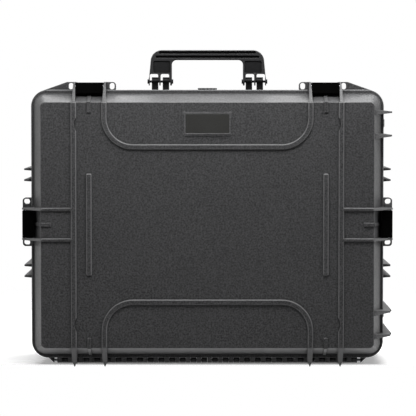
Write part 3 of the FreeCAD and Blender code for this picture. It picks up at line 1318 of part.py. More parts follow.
def wheel_axle(way):
    """Axle pin across the bracket, with a low head at both ends."""
    centre = wheel_centre(way)
    pin = disc(centre, AXLE_RADIUS, BRACKET_HALF)
    heads = []
    for step in (-1, 1):
        head = centre + Vec(0, 0, step * (BRACKET_HALF - AXLE_HEAD_HEIGHT / 2))
        heads.append(disc(head, AXLE_HEAD_RADIUS, AXLE_HEAD_HEIGHT / 2))
    return join([pin] + heads)


def wheel_washers(way):
    """Washers between the bearings and the bracket cheeks."""
    centre = wheel_centre(way)
    gap = BRACKET_HALF - BRACKET_CHEEK - WHEEL_WIDTH / 2
    washers = []
    for step in (-1, 1):
        middle = centre + Vec(0, 0, step * (WHEEL_WIDTH / 2 + gap / 2 + PIN_FIT / 2))
        washer = disc(middle, WASHER_RADIUS, gap / 2 - PIN_FIT / 2)
        washers.append(washer.cut(disc(middle, AXLE_RADIUS, gap)))
    return Part.makeCompound(washers)


def wheel_bracket(way):
    """Fork in the pocket: a base plate, two cheeks and the axle eyes."""
    centre = wheel_centre(way)
    floor_x = centre.x - POCKET_BEHIND
    low_y = centre.y - POCKET_BELOW + POCKET_FIT
    high_y = min(Y_PANEL, centre.y + POCKET_BELOW / 2)
    whole = (centre.z - BRACKET_HALF, centre.z + BRACKET_HALF)
    pieces = [box((floor_x, floor_x + BRACKET_BASE), (low_y, high_y), whole)]
    cuts = [disc(centre, AXLE_RADIUS, BRACKET_HALF + EMBED)]
    for step in (-1, 1):
        inner_z = centre.z + step * (BRACKET_HALF - BRACKET_CHEEK)
        corners = [(floor_x, low_y), (centre.x, centre.y - BRACKET_AXLE_RADIUS)]
        corners += [(centre.x, centre.y + BRACKET_AXLE_RADIUS), (floor_x, high_y)]
        pieces.append(prism([Vec(x, y, inner_z) for x, y in corners], Vec(0, 0, step * BRACKET_CHEEK)))
        eye = Vec(centre.x, centre.y, inner_z)
        pieces.append(rod(BRACKET_AXLE_RADIUS, eye, Vec(0, 0, step * BRACKET_CHEEK)))
        head = centre + Vec(0, 0, step * (BRACKET_HALF - AXLE_HEAD_HEIGHT / 2))
        cuts.append(disc(head, AXLE_HEAD_RADIUS, AXLE_HEAD_HEIGHT / 2))
    for place in bracket_screw_places(way):
        cuts.append(rod(SCREW_SHANK_RADIUS, place - Vec(EMBED, 0, 0), Vec(BRACKET_BASE + 2 * EMBED, 0, 0)))
    return join(pieces).cut(cuts)


def wheel_bracket_screws():
    places = bracket_screw_places(-1) + bracket_screw_places(1)
    return Part.makeCompound([screw(place, Vec(-1, 0, 0), BRACKET_BASE) for place in places])


def tube_section(x, way, wide, deep):
    """Corners of a flat tube's outside at a station, for the upper or lower tube."""
    z = MID_Z + way * TUBE_FROM_MIDDLE
    corners = [Vec(x, TUBE_Y - deep / 2, z - wide / 2), Vec(x, TUBE_Y + deep / 2, z - wide / 2)]
    return corners + [Vec(x, TUBE_Y + deep / 2, z + wide / 2), Vec(x, TUBE_Y - deep / 2, z + wide / 2)]


def flat_bar(x, length, way, wide, deep, corner):
    return prism(tube_section(x, way, wide, deep), Vec(length, 0, 0), [corner] * 4)


def flat_tube(x, length, way, wide, deep, corner):
    outside = flat_bar(x, length, way, wide, deep, corner)
    thin = 2 * TUBE_WALL
    inside = flat_bar(x - 1, length + 2, way, wide - thin, deep - thin, max(corner - TUBE_WALL, 0.5))
    return outside.cut(inside)


INNER_TUBE_WIDE = OUTER_TUBE_WIDE - 2 * TUBE_WALL - 2 * TUBE_FIT
INNER_TUBE_DEEP = OUTER_TUBE_DEEP - 2 * TUBE_WALL - 2 * TUBE_FIT
INNER_TUBE_CORNER = TUBE_CORNER - TUBE_WALL
GRIP_SPLIT_X = PULL_GRIP_OUTER_X + PULL_GRIP_SPLIT
GRIP_INNER_X = PULL_GRIP_OUTER_X + PULL_GRIP_WIDE
INNER_TUBE_START_X = GRIP_INNER_X - PULL_GRIP_WALL


def both_tubes(make):
    return Part.makeCompound([make(-1), make(1)])


def trolley_outer_tubes():
    def make(way):
        section = (OUTER_TUBE_WIDE, OUTER_TUBE_DEEP, TUBE_CORNER)
        return flat_tube(OUTER_TUBE_MOUTH_X, OUTER_TUBE_LENGTH, way, *section)
    return both_tubes(make)


def trolley_inner_tubes():
    length = OUTER_TUBE_END_X - INNER_TUBE_END_GAP - INNER_TUBE_START_X

    def make(way):
        return flat_tube(INNER_TUBE_START_X, length, way, INNER_TUBE_WIDE, INNER_TUBE_DEEP, INNER_TUBE_CORNER)
    return both_tubes(make)


def trolley_guide_bushes():
    """Collars at the mouths of the outer tubes that guide the inner tubes."""
    def make(way):
        x = OUTER_TUBE_MOUTH_X - BUSH_LENGTH
        wide = OUTER_TUBE_WIDE + 2 * BUSH_LIP
        deep = OUTER_TUBE_DEEP + TUBE_STAND_OFF
        collar = flat_bar(x, BUSH_LENGTH, way, wide, deep, TUBE_CORNER)
        hole_wide = INNER_TUBE_WIDE + 2 * BUSH_FIT
        hole_deep = INNER_TUBE_DEEP + 2 * BUSH_FIT
        return collar.cut(flat_bar(x - 1, BUSH_LENGTH + 2, way, hole_wide, hole_deep, INNER_TUBE_CORNER))
    return both_tubes(make)


def trolley_tube_plugs():
    """Plugs in the far ends of the outer tubes."""
    def make(way):
        head = flat_bar(OUTER_TUBE_END_X, PLUG_HEAD, way, OUTER_TUBE_WIDE, OUTER_TUBE_DEEP, TUBE_CORNER)
        thin = 2 * TUBE_WALL
        wide, deep = OUTER_TUBE_WIDE - thin, OUTER_TUBE_DEEP - thin
        start = OUTER_TUBE_END_X - PLUG_SPIGOT
        spigot = flat_bar(start, PLUG_SPIGOT + EMBED, way, wide, deep, TUBE_CORNER - TUBE_WALL)
        return head.fuse(spigot).removeSplitter()
    return both_tubes(make)


def trolley_clamps():
    """Saddles that hold the outer tubes in the recess."""
    clamps = []
    for x in clamp_places():
        for way in (-1, 1):
            z = MID_Z + way * TUBE_FROM_MIDDLE
            span = (x - CLAMP_WIDTH / 2, x + CLAMP_WIDTH / 2)
            half = OUTER_TUBE_WIDE / 2 + CLAMP_WALL
            top_y = TUBE_Y + OUTER_TUBE_DEEP / 2 + CLAMP_WALL
            arch = box(span, (RECESS_Y, top_y), (z - half, z + half))
            arch = rounded_at(arch, top_y, CLAMP_WALL / 2)
            ear_half = half + CLAMP_EAR
            ears = box(span, (RECESS_Y, RECESS_Y + CLAMP_EAR_THICK), (z - ear_half, z + ear_half))
            tube = flat_bar(span[0] - 1, CLAMP_WIDTH + 2, way, OUTER_TUBE_WIDE, OUTER_TUBE_DEEP, TUBE_CORNER)
            cuts = [tube]
            for step in (-CLAMP_SCREW_FROM_TUBE, CLAMP_SCREW_FROM_TUBE):
                start = Vec(x, RECESS_Y - EMBED, z + step)
                cuts.append(rod(SCREW_SHANK_RADIUS, start, Vec(0, CLAMP_EAR_THICK + 2 * EMBED, 0)))
            clamps.append(join([arch, ears]).cut(cuts))
    return Part.makeCompound(clamps)


def trolley_clamp_screws():
    return Part.makeCompound([screw(place, Vec(0, -1, 0), CLAMP_EAR_THICK) for place in clamp_screw_places()])


def pull_grip_bar(low_x, high_x, shrink):
    """Grip body between two stations, smaller all round by shrink."""
    half_deep = PULL_GRIP_DEEP / 2 - shrink
    half = PULL_GRIP_HALF - shrink
    corners = [Vec(low_x, TUBE_Y - half_deep, MID_Z - half), Vec(low_x, TUBE_Y + half_deep, MID_Z - half)]
    corners += [Vec(low_x, TUBE_Y + half_deep, MID_Z + half), Vec(low_x, TUBE_Y - half_deep, MID_Z + half)]
    radius = max(PULL_GRIP_RADIUS - shrink, BUTTON_CORNER)
    return prism(corners, Vec(high_x - low_x, 0, 0), [radius] * 4)


def grip_cavity():
    low_x = PULL_GRIP_OUTER_X + PULL_GRIP_WALL
    return pull_grip_bar(low_x, INNER_TUBE_START_X, PULL_GRIP_WALL)


def rounded_at_x(shape, x, radius):
    """Rounds the edges that lie in the plane across X."""
    edges = [e for e in shape.Edges if abs(e.BoundBox.XMin - x) < 1e-4 and abs(e.BoundBox.XMax - x) < 1e-4]
    return shape.makeFillet(radius, edges)


def button_window(fit):
    """Outline of the button through the outer half of the grip."""
    half, half_deep = BUTTON_HALF + fit, BUTTON_DEEP / 2 + fit
    low_x = PULL_GRIP_OUTER_X
    corners = [Vec(low_x, TUBE_Y - half_deep, MID_Z - half), Vec(low_x, TUBE_Y + half_deep, MID_Z - half)]
    corners += [Vec(low_x, TUBE_Y + half_deep, MID_Z + half), Vec(low_x, TUBE_Y - half_deep, MID_Z + half)]
    return corners


def trolley_grip_outer():
    """Outer half of the pull grip, with the button window."""
    half = pull_grip_bar(PULL_GRIP_OUTER_X, GRIP_SPLIT_X, 0)
    half = rounded_at_x(half, PULL_GRIP_OUTER_X, PULL_GRIP_WALL * 0.75)
    window = prism(button_window(BUTTON_FIT), Vec(PULL_GRIP_SPLIT, 0, 0), [BUTTON_CORNER] * 4)
    return half.cut([grip_cavity(), window])


def trolley_grip_inner():
    """Inner half of the pull grip, with sockets for the inner tubes."""
    half = pull_grip_bar(GRIP_SPLIT_X, GRIP_INNER_X, 0)
    half = rounded_at_x(half, GRIP_INNER_X, PULL_GRIP_WALL / 2)
    cuts = [grip_cavity()]
    for way in (-1, 1):
        wide, deep = INNER_TUBE_WIDE, INNER_TUBE_DEEP
        cuts.append(flat_bar(INNER_TUBE_START_X, PULL_GRIP_WIDE, way, wide, deep, INNER_TUBE_CORNER))
    return half.cut(cuts)


YOKE_X = PULL_GRIP_OUTER_X + PULL_GRIP_WALL + 2 * BUTTON_FIT


def trolley_button():
    """Push button with the yoke behind it that carries the lock rods."""
    cap = prism(button_window(0), Vec(YOKE_X - PULL_GRIP_OUTER_X + EMBED, 0, 0), [BUTTON_CORNER] * 4)
    cap = rounded_at_x(cap, PULL_GRIP_OUTER_X, BUTTON_EDGE_RADIUS)
    half = TUBE_FROM_MIDDLE + LOCK_ROD_RADIUS + BEYOND
    half_deep = YOKE_DEEP / 2
    yoke_y = (TUBE_Y - half_deep, TUBE_Y + half_deep)
    yoke = box((YOKE_X, YOKE_X + YOKE_THICK), yoke_y, (MID_Z - half, MID_Z + half))
    return cap.fuse(yoke).removeSplitter()


def trolley_lock_rods():
    """Rods inside the inner tubes, pushed by the yoke."""
    length = OUTER_TUBE_END_X - INNER_TUBE_END_GAP - LOCK_ROD_SHORT - YOKE_X - YOKE_THICK

    def make(way):
        start = Vec(YOKE_X + YOKE_THICK, TUBE_Y, MID_Z + way * TUBE_FROM_MIDDLE)
        return rod(LOCK_ROD_RADIUS, start, Vec(length, 0, 0))
    return both_tubes(make)


def leaf_spring(way):
    """Folded leaf between the yoke and the inner half of the grip."""
    low_x, high_x = YOKE_X + YOKE_THICK, INNER_TUBE_START_X
    middle_z = MID_Z + way * SPRING_FROM_MIDDLE
    low_y = TUBE_Y - SPRING_DEEP / 2
    folds = [(low_x if i % 2 == 0 else high_x, middle_z + (i - 1.5) * SPRING_FOLD) for i in range(4)]
    legs = []
    for (x, z), (next_x, next_z) in zip(folds, folds[1:]):
        corners = [Vec(x, low_y, z), Vec(next_x, low_y, next_z)]
        corners += [Vec(next_x, low_y, next_z + SPRING_LEAF), Vec(x, low_y, z + SPRING_LEAF)]
        legs.append(prism(corners, Vec(0, SPRING_DEEP, 0)))
    return join(legs)


def trolley_button_springs():
    return both_tubes(leaf_spring)


def name_plate():
    return plate_solid(0)


def all_parts():
    """Every node by name."""
    parts = {
        "base_shell": base_shell(),
        "lid_shell": lid_shell(),
        "lid_gasket": lid_gasket(),
        "name_plate": name_plate(),
        "hinge_pins": hinge_pins(),
        "front_handle": front_handle(),
        "front_handle_brackets": front_handle_brackets(),
        "front_handle_bracket_screws": front_handle_bracket_screws(),
        "front_handle_pins": front_handle_pins(),
        "valve_body": valve_body(),
        "valve_seal": valve_seal(),
        "valve_nut": valve_nut(),
        "valve_knob": valve_knob(),
        "wheel_bracket_screws": wheel_bracket_screws(),
        "trolley_outer_tubes": trolley_outer_tubes(),
        "trolley_inner_tubes": trolley_inner_tubes(),
        "trolley_guide_bushes": trolley_guide_bushes(),
        "trolley_tube_plugs": trolley_tube_plugs(),
        "trolley_clamps": trolley_clamps(),
        "trolley_clamp_screws": trolley_clamp_screws(),
        "trolley_grip_outer": trolley_grip_outer(),
        "trolley_grip_inner": trolley_grip_inner(),
        "trolley_button": trolley_button(),
        "trolley_lock_rods": trolley_lock_rods(),
        "trolley_button_springs": trolley_button_springs(),
    }
    for latch in LATCHES:
        name = latch[0]
        parts[name + "_latch_body"] = at_latch(latch_body(), latch)
        parts[name + "_latch_lever"] = at_latch(latch_lever(), latch)
        parts[name + "_latch_pivot_pin"] = at_latch(latch_pivot_pin(), latch)
        parts[name + "_latch_lever_pin"] = at_latch(latch_lever_pin(), latch)
    for name, way in (("upper", 1), ("lower", -1)):
        parts[name + "_wheel_tyre"] = wheel_tyre(way)
        parts[name + "_wheel_hub"] = wheel_hub(way)
        parts[name + "_wheel_bearings"] = wheel_bearings(way)
        parts[name + "_wheel_axle"] = wheel_axle(way)
        parts[name + "_wheel_washers"] = wheel_washers(way)
        parts[name + "_wheel_bracket"] = wheel_bracket(way)
    return parts


os.makedirs("parts", exist_ok=True)
for node, shape in all_parts().items():
    shape.exportStep("parts/" + node + ".step")
    state = "valid" if shape.isValid() else "INVALID"
    print(node, shape.ShapeType, len(shape.Solids), state, round(shape.Volume / 1000, 2))
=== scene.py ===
# %% [markdown]
# # A wheeled protective case
# The case is a lid and a base of moulded plastic, closed by latches and standing on its hinge side.
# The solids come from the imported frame, in metres, with the floor at Z = 0 and the lid towards -Y.
# Here they get smooth shading, real finishes, small moulded details, studio light and a camera.

# %% Load the frame
import json
import math

import bmesh
import bpy
import numpy
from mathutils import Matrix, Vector


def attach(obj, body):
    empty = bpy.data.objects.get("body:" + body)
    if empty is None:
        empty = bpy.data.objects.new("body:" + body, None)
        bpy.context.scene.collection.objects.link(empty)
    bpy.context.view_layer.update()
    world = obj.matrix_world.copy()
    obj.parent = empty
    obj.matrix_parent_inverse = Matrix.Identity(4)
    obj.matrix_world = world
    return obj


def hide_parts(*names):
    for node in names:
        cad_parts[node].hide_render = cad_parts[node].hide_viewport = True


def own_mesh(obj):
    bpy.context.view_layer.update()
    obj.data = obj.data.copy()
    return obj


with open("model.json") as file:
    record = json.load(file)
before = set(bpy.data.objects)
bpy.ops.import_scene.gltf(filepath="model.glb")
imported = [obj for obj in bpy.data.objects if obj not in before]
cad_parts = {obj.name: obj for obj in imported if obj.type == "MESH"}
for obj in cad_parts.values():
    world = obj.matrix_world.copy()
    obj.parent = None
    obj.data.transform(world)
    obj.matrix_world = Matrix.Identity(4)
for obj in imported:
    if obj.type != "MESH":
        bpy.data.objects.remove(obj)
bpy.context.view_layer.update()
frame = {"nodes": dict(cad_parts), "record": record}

MM = 0.001
nodes = frame["nodes"]
behaviour = frame["record"]["behaviour"]
body_of = {node: body for body, members in behaviour["bodies"].items() for node in members}
slot_of = {part["node"]: part["material_slot"] for part in frame["record"]["subparts"]}
print("solids:", len(nodes), "bodies:", len(set(body_of.values())))

# %% [markdown]
# Three helpers serve every finish. Colours are written as sRGB hex values, as a paint chart gives
# them, and the first helper turns them to the linear values that a shader works in. The second adds
# one node with its settings, and links whatever socket it is handed. The third starts a finish from
# an empty tree, with a shader and the object's own coordinates, which stay put on a piece that moves.

# %% Helpers for finishes
def linear(hex_code):
    """sRGB hex colour as linear RGBA."""
    values = [int(hex_code[i:i + 2], 16) / 255 for i in (1, 3, 5)]
    return tuple(v / 12.92 if v <= 0.04045 else ((v + 0.055) / 1.055) ** 2.4 for v in values) + (1.0,)


def add_node(tree, kind, settings=None, inputs=None):
    """One node in a tree, with its settings, its values and its links."""
    made = tree.nodes.new(kind)
    for key, value in (settings or {}).items():
        setattr(made, key, value)
    for key, value in (inputs or {}).items():
        if isinstance(value, bpy.types.NodeSocket):
            tree.links.new(value, made.inputs[key])
        else:
            made.inputs[key].default_value = value
    return made


def new_finish(name, **sockets):
    """An empty finish: its tree, its shader and the object's own coordinates."""
    material = bpy.data.materials.new(name)
    material.use_nodes = True
    tree = material.node_tree
    tree.nodes.clear()
    shader = add_node(tree, "ShaderNodeBsdfPrincipled", inputs=sockets)
    add_node(tree, "ShaderNodeOutputMaterial", inputs={"Surface": shader.outputs["BSDF"]})
    place = add_node(tree, "ShaderNodeTexCoord").outputs["Object"]
    return material, tree, shader, place


print("middle grey #808080 as linear:", round(linear("#808080")[0], 3))

# %% [markdown]
# Moulded plastic changes first at its edges. Handling polishes the outer ones a little lighter, and
# the same lighter colour also paints on them the highlight that a rounded edge catches. The inner
# corners get a painted shade. That could be painted by hand, but then every piece would need its own
# painting. Here a bevel node finds the edges, by how far the rounded normal leans from the plain one,
# and an ambient occlusion node tells inner corners from outer edges. A face attribute, written further
# down, adds wear and a painted highlight on the strips that stand out, and painted floor light below.

# %% Masks for edge wear with painted highlight, and painted corner shade
EDGE_WEAR_AND_HIGHLIGHT = 0.42  # how far an edge goes towards the edge colour, for wear and a painted highlight
CORNER_MM = 5  # how far the painted shade of an inner corner reaches
TRACE_SAMPLES = 6
LEAN_START, LEAN_FULL = 0.985, 0.80  # cosine of the lean where an edge starts, and where it is full
OUTER_START, OUTER_FULL = 0.80, 0.95  # share of open sky over an outer edge
INNER_START, INNER_FULL = 0.95, 0.55  # share of open sky in an inner corner


def edge_and_corner(tree, edge_mm):
    """Two masks and a normal: edges with wear and painted highlight, corners with painted shade, and the
    rounded edges in the shading.
    """
    rounded = add_node(tree, "ShaderNodeBevel", {"samples": TRACE_SAMPLES}, {"Radius": edge_mm * MM})
    plain = add_node(tree, "ShaderNodeNewGeometry").outputs["Normal"]
    lean = add_node(tree, "ShaderNodeVectorMath", {"operation": "DOT_PRODUCT"}, {
        0: rounded.outputs[0], 1: plain})
    turned = add_node(tree, "ShaderNodeMapRange", inputs={
        "Value": lean.outputs["Value"], "From Min": LEAN_START, "From Max": LEAN_FULL,
        "To Min": 0.0, "To Max": EDGE_WEAR_AND_HIGHLIGHT})
    open_sky = add_node(tree, "ShaderNodeAmbientOcclusion", {"samples": TRACE_SAMPLES}, {
        "Distance": CORNER_MM * MM}).outputs["AO"]
    outer = add_node(tree, "ShaderNodeMapRange", inputs={
        "Value": open_sky, "From Min": OUTER_START, "From Max": OUTER_FULL})
    # the face attribute: wear with a painted highlight, and painted light on the underside
    rubbed = add_node(tree, "ShaderNodeAttribute", {"attribute_name": "edge_wear_and_highlight"}).outputs["Fac"]
    sharp = add_node(tree, "ShaderNodeMath", {"operation": "MULTIPLY"}, {
        0: turned.outputs[0], 1: outer.outputs[0]})
    edge = add_node(tree, "ShaderNodeMath", {"operation": "MAXIMUM"}, {0: sharp.outputs[0], 1: rubbed})
    corner = add_node(tree, "ShaderNodeMapRange", inputs={
        "Value": open_sky, "From Min": INNER_START, "From Max": INNER_FULL,
        "To Min": 0.0, "To Max": 1.0})
    return edge.outputs[0], corner.outputs[0], rounded.outputs[0]


print("edges are rubbed by", EDGE_WEAR_AND_HIGHLIGHT, "and corners shaded over", CORNER_MM, "mm")

# %% [markdown]
# All the plastics share one recipe. One noise mottles the colour and a slightly finer one gives the
# bump of the grain. A third, as broad as a hand, stirs the roughness, as on a part that has been
# carried about. The real grain is under a millimetre, so it is drawn at about two millimetres to show.

# %% Recipe of a moulded plastic
PLASTIC_IOR = 1.49
NOISE_LOW, NOISE_HIGH = 0.3, 0.7  # the part of its range that a noise mostly keeps to
GRAIN_DETAIL = 2.0
GRAIN_STRENGTH = 0.7
MOTTLE_RATIO = 1.4  # the mottling is this much coarser than the grain
HAND_MM = 60
ROUGH_SWING = 0.04


def moulded_plastic(name, dark, light, edge, corner, roughness, grain_mm, depth_mm, edge_mm, shine=0.5):
    """A grained plastic: lighter outer edges from wear and a painted highlight, painted shade in inner
    corners.
    """
    material, tree, shader, place = new_finish(name, **{"IOR": PLASTIC_IOR, "Specular IOR Level": shine})
    mottle = add_node(tree, "ShaderNodeTexNoise", inputs={
        "Vector": place, "Scale": 1 / (MOTTLE_RATIO * grain_mm * MM), "Detail": GRAIN_DETAIL})
    grain = add_node(tree, "ShaderNodeTexNoise", inputs={
        "Vector": place, "Scale": 1 / (grain_mm * MM), "Detail": GRAIN_DETAIL})
    cloud = add_node(tree, "ShaderNodeTexNoise", inputs={
        "Vector": place, "Scale": 1 / (HAND_MM * MM), "Detail": GRAIN_DETAIL})
    share = add_node(tree, "ShaderNodeMapRange", inputs={
        "Value": mottle.outputs["Fac"], "From Min": NOISE_LOW, "From Max": NOISE_HIGH})
    tint = add_node(tree, "ShaderNodeMix", {"data_type": "RGBA"}, {
        "Factor": share.outputs[0], "A": linear(dark), "B": linear(light)})
    wear_and_highlight_mask, corner_shade_mask, rounded = edge_and_corner(tree, edge_mm)
    # lighter edges: wear and a painted highlight; darker inner corners: painted shade
    worn_and_lit = add_node(tree, "ShaderNodeMix", {"data_type": "RGBA"}, {
        "Factor": wear_and_highlight_mask, "A": tint.outputs["Result"], "B": linear(edge)})
    corner_shaded = add_node(tree, "ShaderNodeMix", {"data_type": "RGBA"}, {
        "Factor": corner_shade_mask, "A": worn_and_lit.outputs["Result"], "B": linear(corner)})
    rough = add_node(tree, "ShaderNodeMapRange", inputs={
        "Value": cloud.outputs["Fac"], "From Min": NOISE_LOW, "From Max": NOISE_HIGH,
        "To Min": roughness - ROUGH_SWING, "To Max": roughness + ROUGH_SWING})
    bump = add_node(tree, "ShaderNodeBump", inputs={
        "Height": grain.outputs["Fac"], "Strength": GRAIN_STRENGTH, "Distance": depth_mm * MM,
        "Normal": rounded})
    tree.links.new(corner_shaded.outputs["Result"], shader.inputs["Base Color"])
    tree.links.new(rough.outputs[0], shader.inputs["Roughness"])
    tree.links.new(bump.outputs[0], shader.inputs["Normal"])
    return material


print("the noise for roughness is", HAND_MM, "mm broad")

# %% [markdown]
# The shells are injection-moulded polypropylene. The mould is spark-eroded, which leaves a grain that
# scatters light, so the colour is a soft dark grey with a broad sheen and no mirror image. Of all the
# plastics it has the coarsest and deepest grain.

# %% Moulded shell plastic
# edge is the colour of wear with a painted highlight, corner the painted shade of inner corners
shell_plastic = moulded_plastic(
    "polypropylene_spark_grain", dark="#272728", light="#4b4b4c", edge="#7a7a7b", corner="#2a2a2b",
    roughness=0.5, grain_mm=2.2, depth_mm=0.18, edge_mm=2.0)
print("made", shell_plastic.name)

# %% [markdown]
# The fittings come from smoother moulds. Latches, handle and wheels are glass-filled nylon, which is
# blacker than the shells. The valve and the button are acetal, a slippery plastic with a waxy look, and
# the blank plate is ABS. The same recipe serves them all, with a finer grain and a shallower bump.

# %% Smooth plastics of the fittings
# In every fitting, edge is the colour of wear and a painted highlight on edges, and corner the painted
# shade of inner corners.
# Satin and very black: hardly any sheen, so the latches read as dark shapes with thin edges.
latch_plastic = moulded_plastic(
    "nylon_satin_black", dark="#010101", light="#030303", edge="#1d1d1e", corner="#010101",
    roughness=0.4, grain_mm=1.6, depth_mm=0.03, edge_mm=0.8, shine=0.08)
# Smoothed by hands, so a little glossier, with a painted highlight along the rounded grip from its
# lighter edge colour.
handle_plastic = moulded_plastic(
    "nylon_handle_black", dark="#171718", light="#1d1d1e", edge="#3b3b3c", corner="#020202",
    roughness=0.36, grain_mm=1.6, depth_mm=0.02, edge_mm=0.9, shine=0.35)
# Duller and a little grey, with lighter edges on the hubs and brackets: wear and a painted highlight.
wheel_plastic = moulded_plastic(
    "nylon_wheel_black", dark="#1c1c1d", light="#242425", edge="#505051", corner="#121213",
    roughness=0.45, grain_mm=1.6, depth_mm=0.05, edge_mm=0.6)
# Waxy dark grey, close to the shells but even and fine.
valve_plastic = moulded_plastic(
    "acetal_valve_grey", dark="#343435", light="#3c3c3d", edge="#787879", corner="#1c1c1d",
    roughness=0.42, grain_mm=1.6, depth_mm=0.03, edge_mm=0.5)
# A paler grey, so that a thumb finds the button in the black grip.
button_plastic = moulded_plastic(
    "acetal_button_grey", dark="#4a4b4d", light="#525355", edge="#858689", corner="#333436",
    roughness=0.4, grain_mm=1.6, depth_mm=0.03, edge_mm=0.5)
# Smooth and slightly warm, so that the bare plate stands off the grain round it.
plate_plastic = moulded_plastic(
    "abs_blank_plate", dark="#2b2b2a", light="#323230", edge="#5f5f5d", corner="#1e1e1d",
    roughness=0.42, grain_mm=1.4, depth_mm=0.03, edge_mm=0.6)
fittings = (latch_plastic, handle_plastic, wheel_plastic, valve_plastic, button_plastic, plate_plastic)
print("made", [finish.name for finish in fittings])

# %% [markdown]
# Rubber is softer and duller. The gasket and the tyres have a velvety surface, so roughness is high
# and a little sheen lifts the grazing edges. One noise serves both the colour and the bump, because
# the specks on moulded rubber are also its high points.

# %% Soft rubber and tyre
RUBBER_IOR = 1.52
RUBBER_DETAIL = 4.0
RUBBER_EDGE_MM = 0.8
RUBBER_STRENGTH = 0.5
RUBBER_DEPTH_MM = 0.1


def soft_rubber(name, dark, light, roughness, grain_mm):
    """A dull rubber with fine specks and a faint sheen."""
    material, tree, shader, place = new_finish(
        name, IOR=RUBBER_IOR, Roughness=roughness, **{"Sheen Weight": 0.08, "Sheen Roughness": 0.5})
    grain = add_node(tree, "ShaderNodeTexNoise", inputs={
        "Vector": place, "Scale": 1 / (grain_mm * MM), "Detail": RUBBER_DETAIL})
    colour = add_node(tree, "ShaderNodeMix", {"data_type": "RGBA"}, {
        "Factor": grain.outputs["Fac"], "A": linear(dark), "B": linear(light)})
    rounded = add_node(tree, "ShaderNodeBevel", {"samples": TRACE_SAMPLES}, {
        "Radius": RUBBER_EDGE_MM * MM})
    bump = add_node(tree, "ShaderNodeBump", inputs={
        "Height": grain.outputs["Fac"], "Strength": RUBBER_STRENGTH,
        "Distance": RUBBER_DEPTH_MM * MM, "Normal": rounded.outputs[0]})
    tree.links.new(colour.outputs["Result"], shader.inputs["Base Color"])
    tree.links.new(bump.outputs[0], shader.inputs["Normal"])
    return material


# Dull black, as a soft seal is.
seal_rubber = soft_rubber(
    "rubber_gasket_black", dark="#1a1a1b", light="#222223", roughness=0.7, grain_mm=1.0)
# Harder and a little shinier, with coarser specks.
tyre_rubber = soft_rubber(
    "polyurethane_tyre", dark="#1d1d1e", light="#292929", roughness=0.6, grain_mm=1.4)
print("made", seal_rubber.name, tyre_rubber.name)

# %% [markdown]
# Steel and aluminium keep the default index of refraction. Drawn tube and wire carry fine lines along
# their length, so a noise is stretched along one axis and only stirs the roughness and the bump. The
# real lines are finer than a hair, and are drawn at a millimetre or more to show.

# %% Drawn metals
LINE_DETAIL = 3.0
LINE_STRENGTH = 0.25
LINE_DEPTH_MM = 0.03
SHINIER, DULLER = 0.08, 0.1  # how far the lines move the roughness each way
LONG_LINES, SHORT_LINES, SPECKS = (0.02, 1.0, 1.0), (0.05, 1.0, 1.0), (1.0, 1.0, 1.0)


def drawn_metal(name, hex_code, roughness, line_mm, stretch):
    """A metal whose roughness and bump follow fine lines."""
    material, tree, shader, place = new_finish(name, Metallic=1.0, **{"Base Color": linear(hex_code)})
    mapped = add_node(tree, "ShaderNodeMapping", inputs={"Vector": place, "Scale": stretch})
    lines = add_node(tree, "ShaderNodeTexNoise", inputs={
        "Vector": mapped.outputs[0], "Scale": 1 / (line_mm * MM), "Detail": LINE_DETAIL})
    rough = add_node(tree, "ShaderNodeMapRange", inputs={
        "Value": lines.outputs["Fac"], "From Min": NOISE_LOW, "From Max": NOISE_HIGH,
        "To Min": roughness - SHINIER, "To Max": roughness + DULLER})
    bump = add_node(tree, "ShaderNodeBump", inputs={
        "Height": lines.outputs["Fac"], "Strength": LINE_STRENGTH, "Distance": LINE_DEPTH_MM * MM})
    tree.links.new(rough.outputs[0], shader.inputs["Roughness"])
    tree.links.new(bump.outputs[0], shader.inputs["Normal"])
    return material


# Pale and satin, with long streaks along the tubes.
tube_aluminium = drawn_metal("aluminium_anodised_tube", "#b9bbbe", 0.32, 1.5, LONG_LINES)
# Bright grey with short streaks.
pin_steel = drawn_metal("steel_drawn_pin", "#9b9c9f", 0.3, 1.5, SHORT_LINES)
# Zinc plating: a darker, speckled grey.
screw_steel = drawn_metal("steel_zinc_screw", "#7d7f83", 0.35, 1.0, SPECKS)
# Almost black, with a dull metal shine.
black_steel = drawn_metal("steel_black_oxide", "#1c1d1f", 0.38, 1.5, SHORT_LINES)
# Ground rings: the brightest and smoothest metal of the case.
bearing_steel = drawn_metal("steel_ground_bearing", "#a8aaad", 0.2, 1.0, SPECKS)
metals = (tube_aluminium, pin_steel, screw_steel, black_steel, bearing_steel)
print("made", [finish.name for finish in metals])

# %% [markdown]
# The record gives each solid a material slot, and each slot has one finish here. Only the brackets of
# the carrying handle depart from that: they share a slot with the handle, but take the blacker finish
# of the latches.

# %% Finish of each slot
FINISHES = {
    "shell_plastic": shell_plastic,
    "latch_plastic": latch_plastic,
    "handle_plastic": handle_plastic,
    "black_steel": black_steel,
    "seal_rubber": seal_rubber,
    "plate_plastic": plate_plastic,
    "pin_steel": pin_steel,
    "screw_steel": screw_steel,
    "spring_steel": screw_steel,
    "bearing_steel": bearing_steel,
    "tube_aluminium": tube_aluminium,
    "valve_plastic": valve_plastic,
    "trolley_plastic": latch_plastic,
    "button_plastic": button_plastic,
    "hub_plastic": wheel_plastic,
    "wheel_tyre": tyre_rubber,
}


def finish_of(node):
    """The finish of a solid: that of its slot, apart from the brackets of the handle."""
    return latch_plastic if node == "front_handle_brackets" else FINISHES[slot_of[node]]


print("slots with a finish:", len(FINISHES))

# %% [markdown]
# The solids are loose triangles. To shade them well, a rounding has to be told from a real edge. A
# single angle would not do, because a small rounding turns as much from strip to strip as a shallow
# edge does. A rounding is made of narrow strips, so how narrow a face is decides along with the angle.

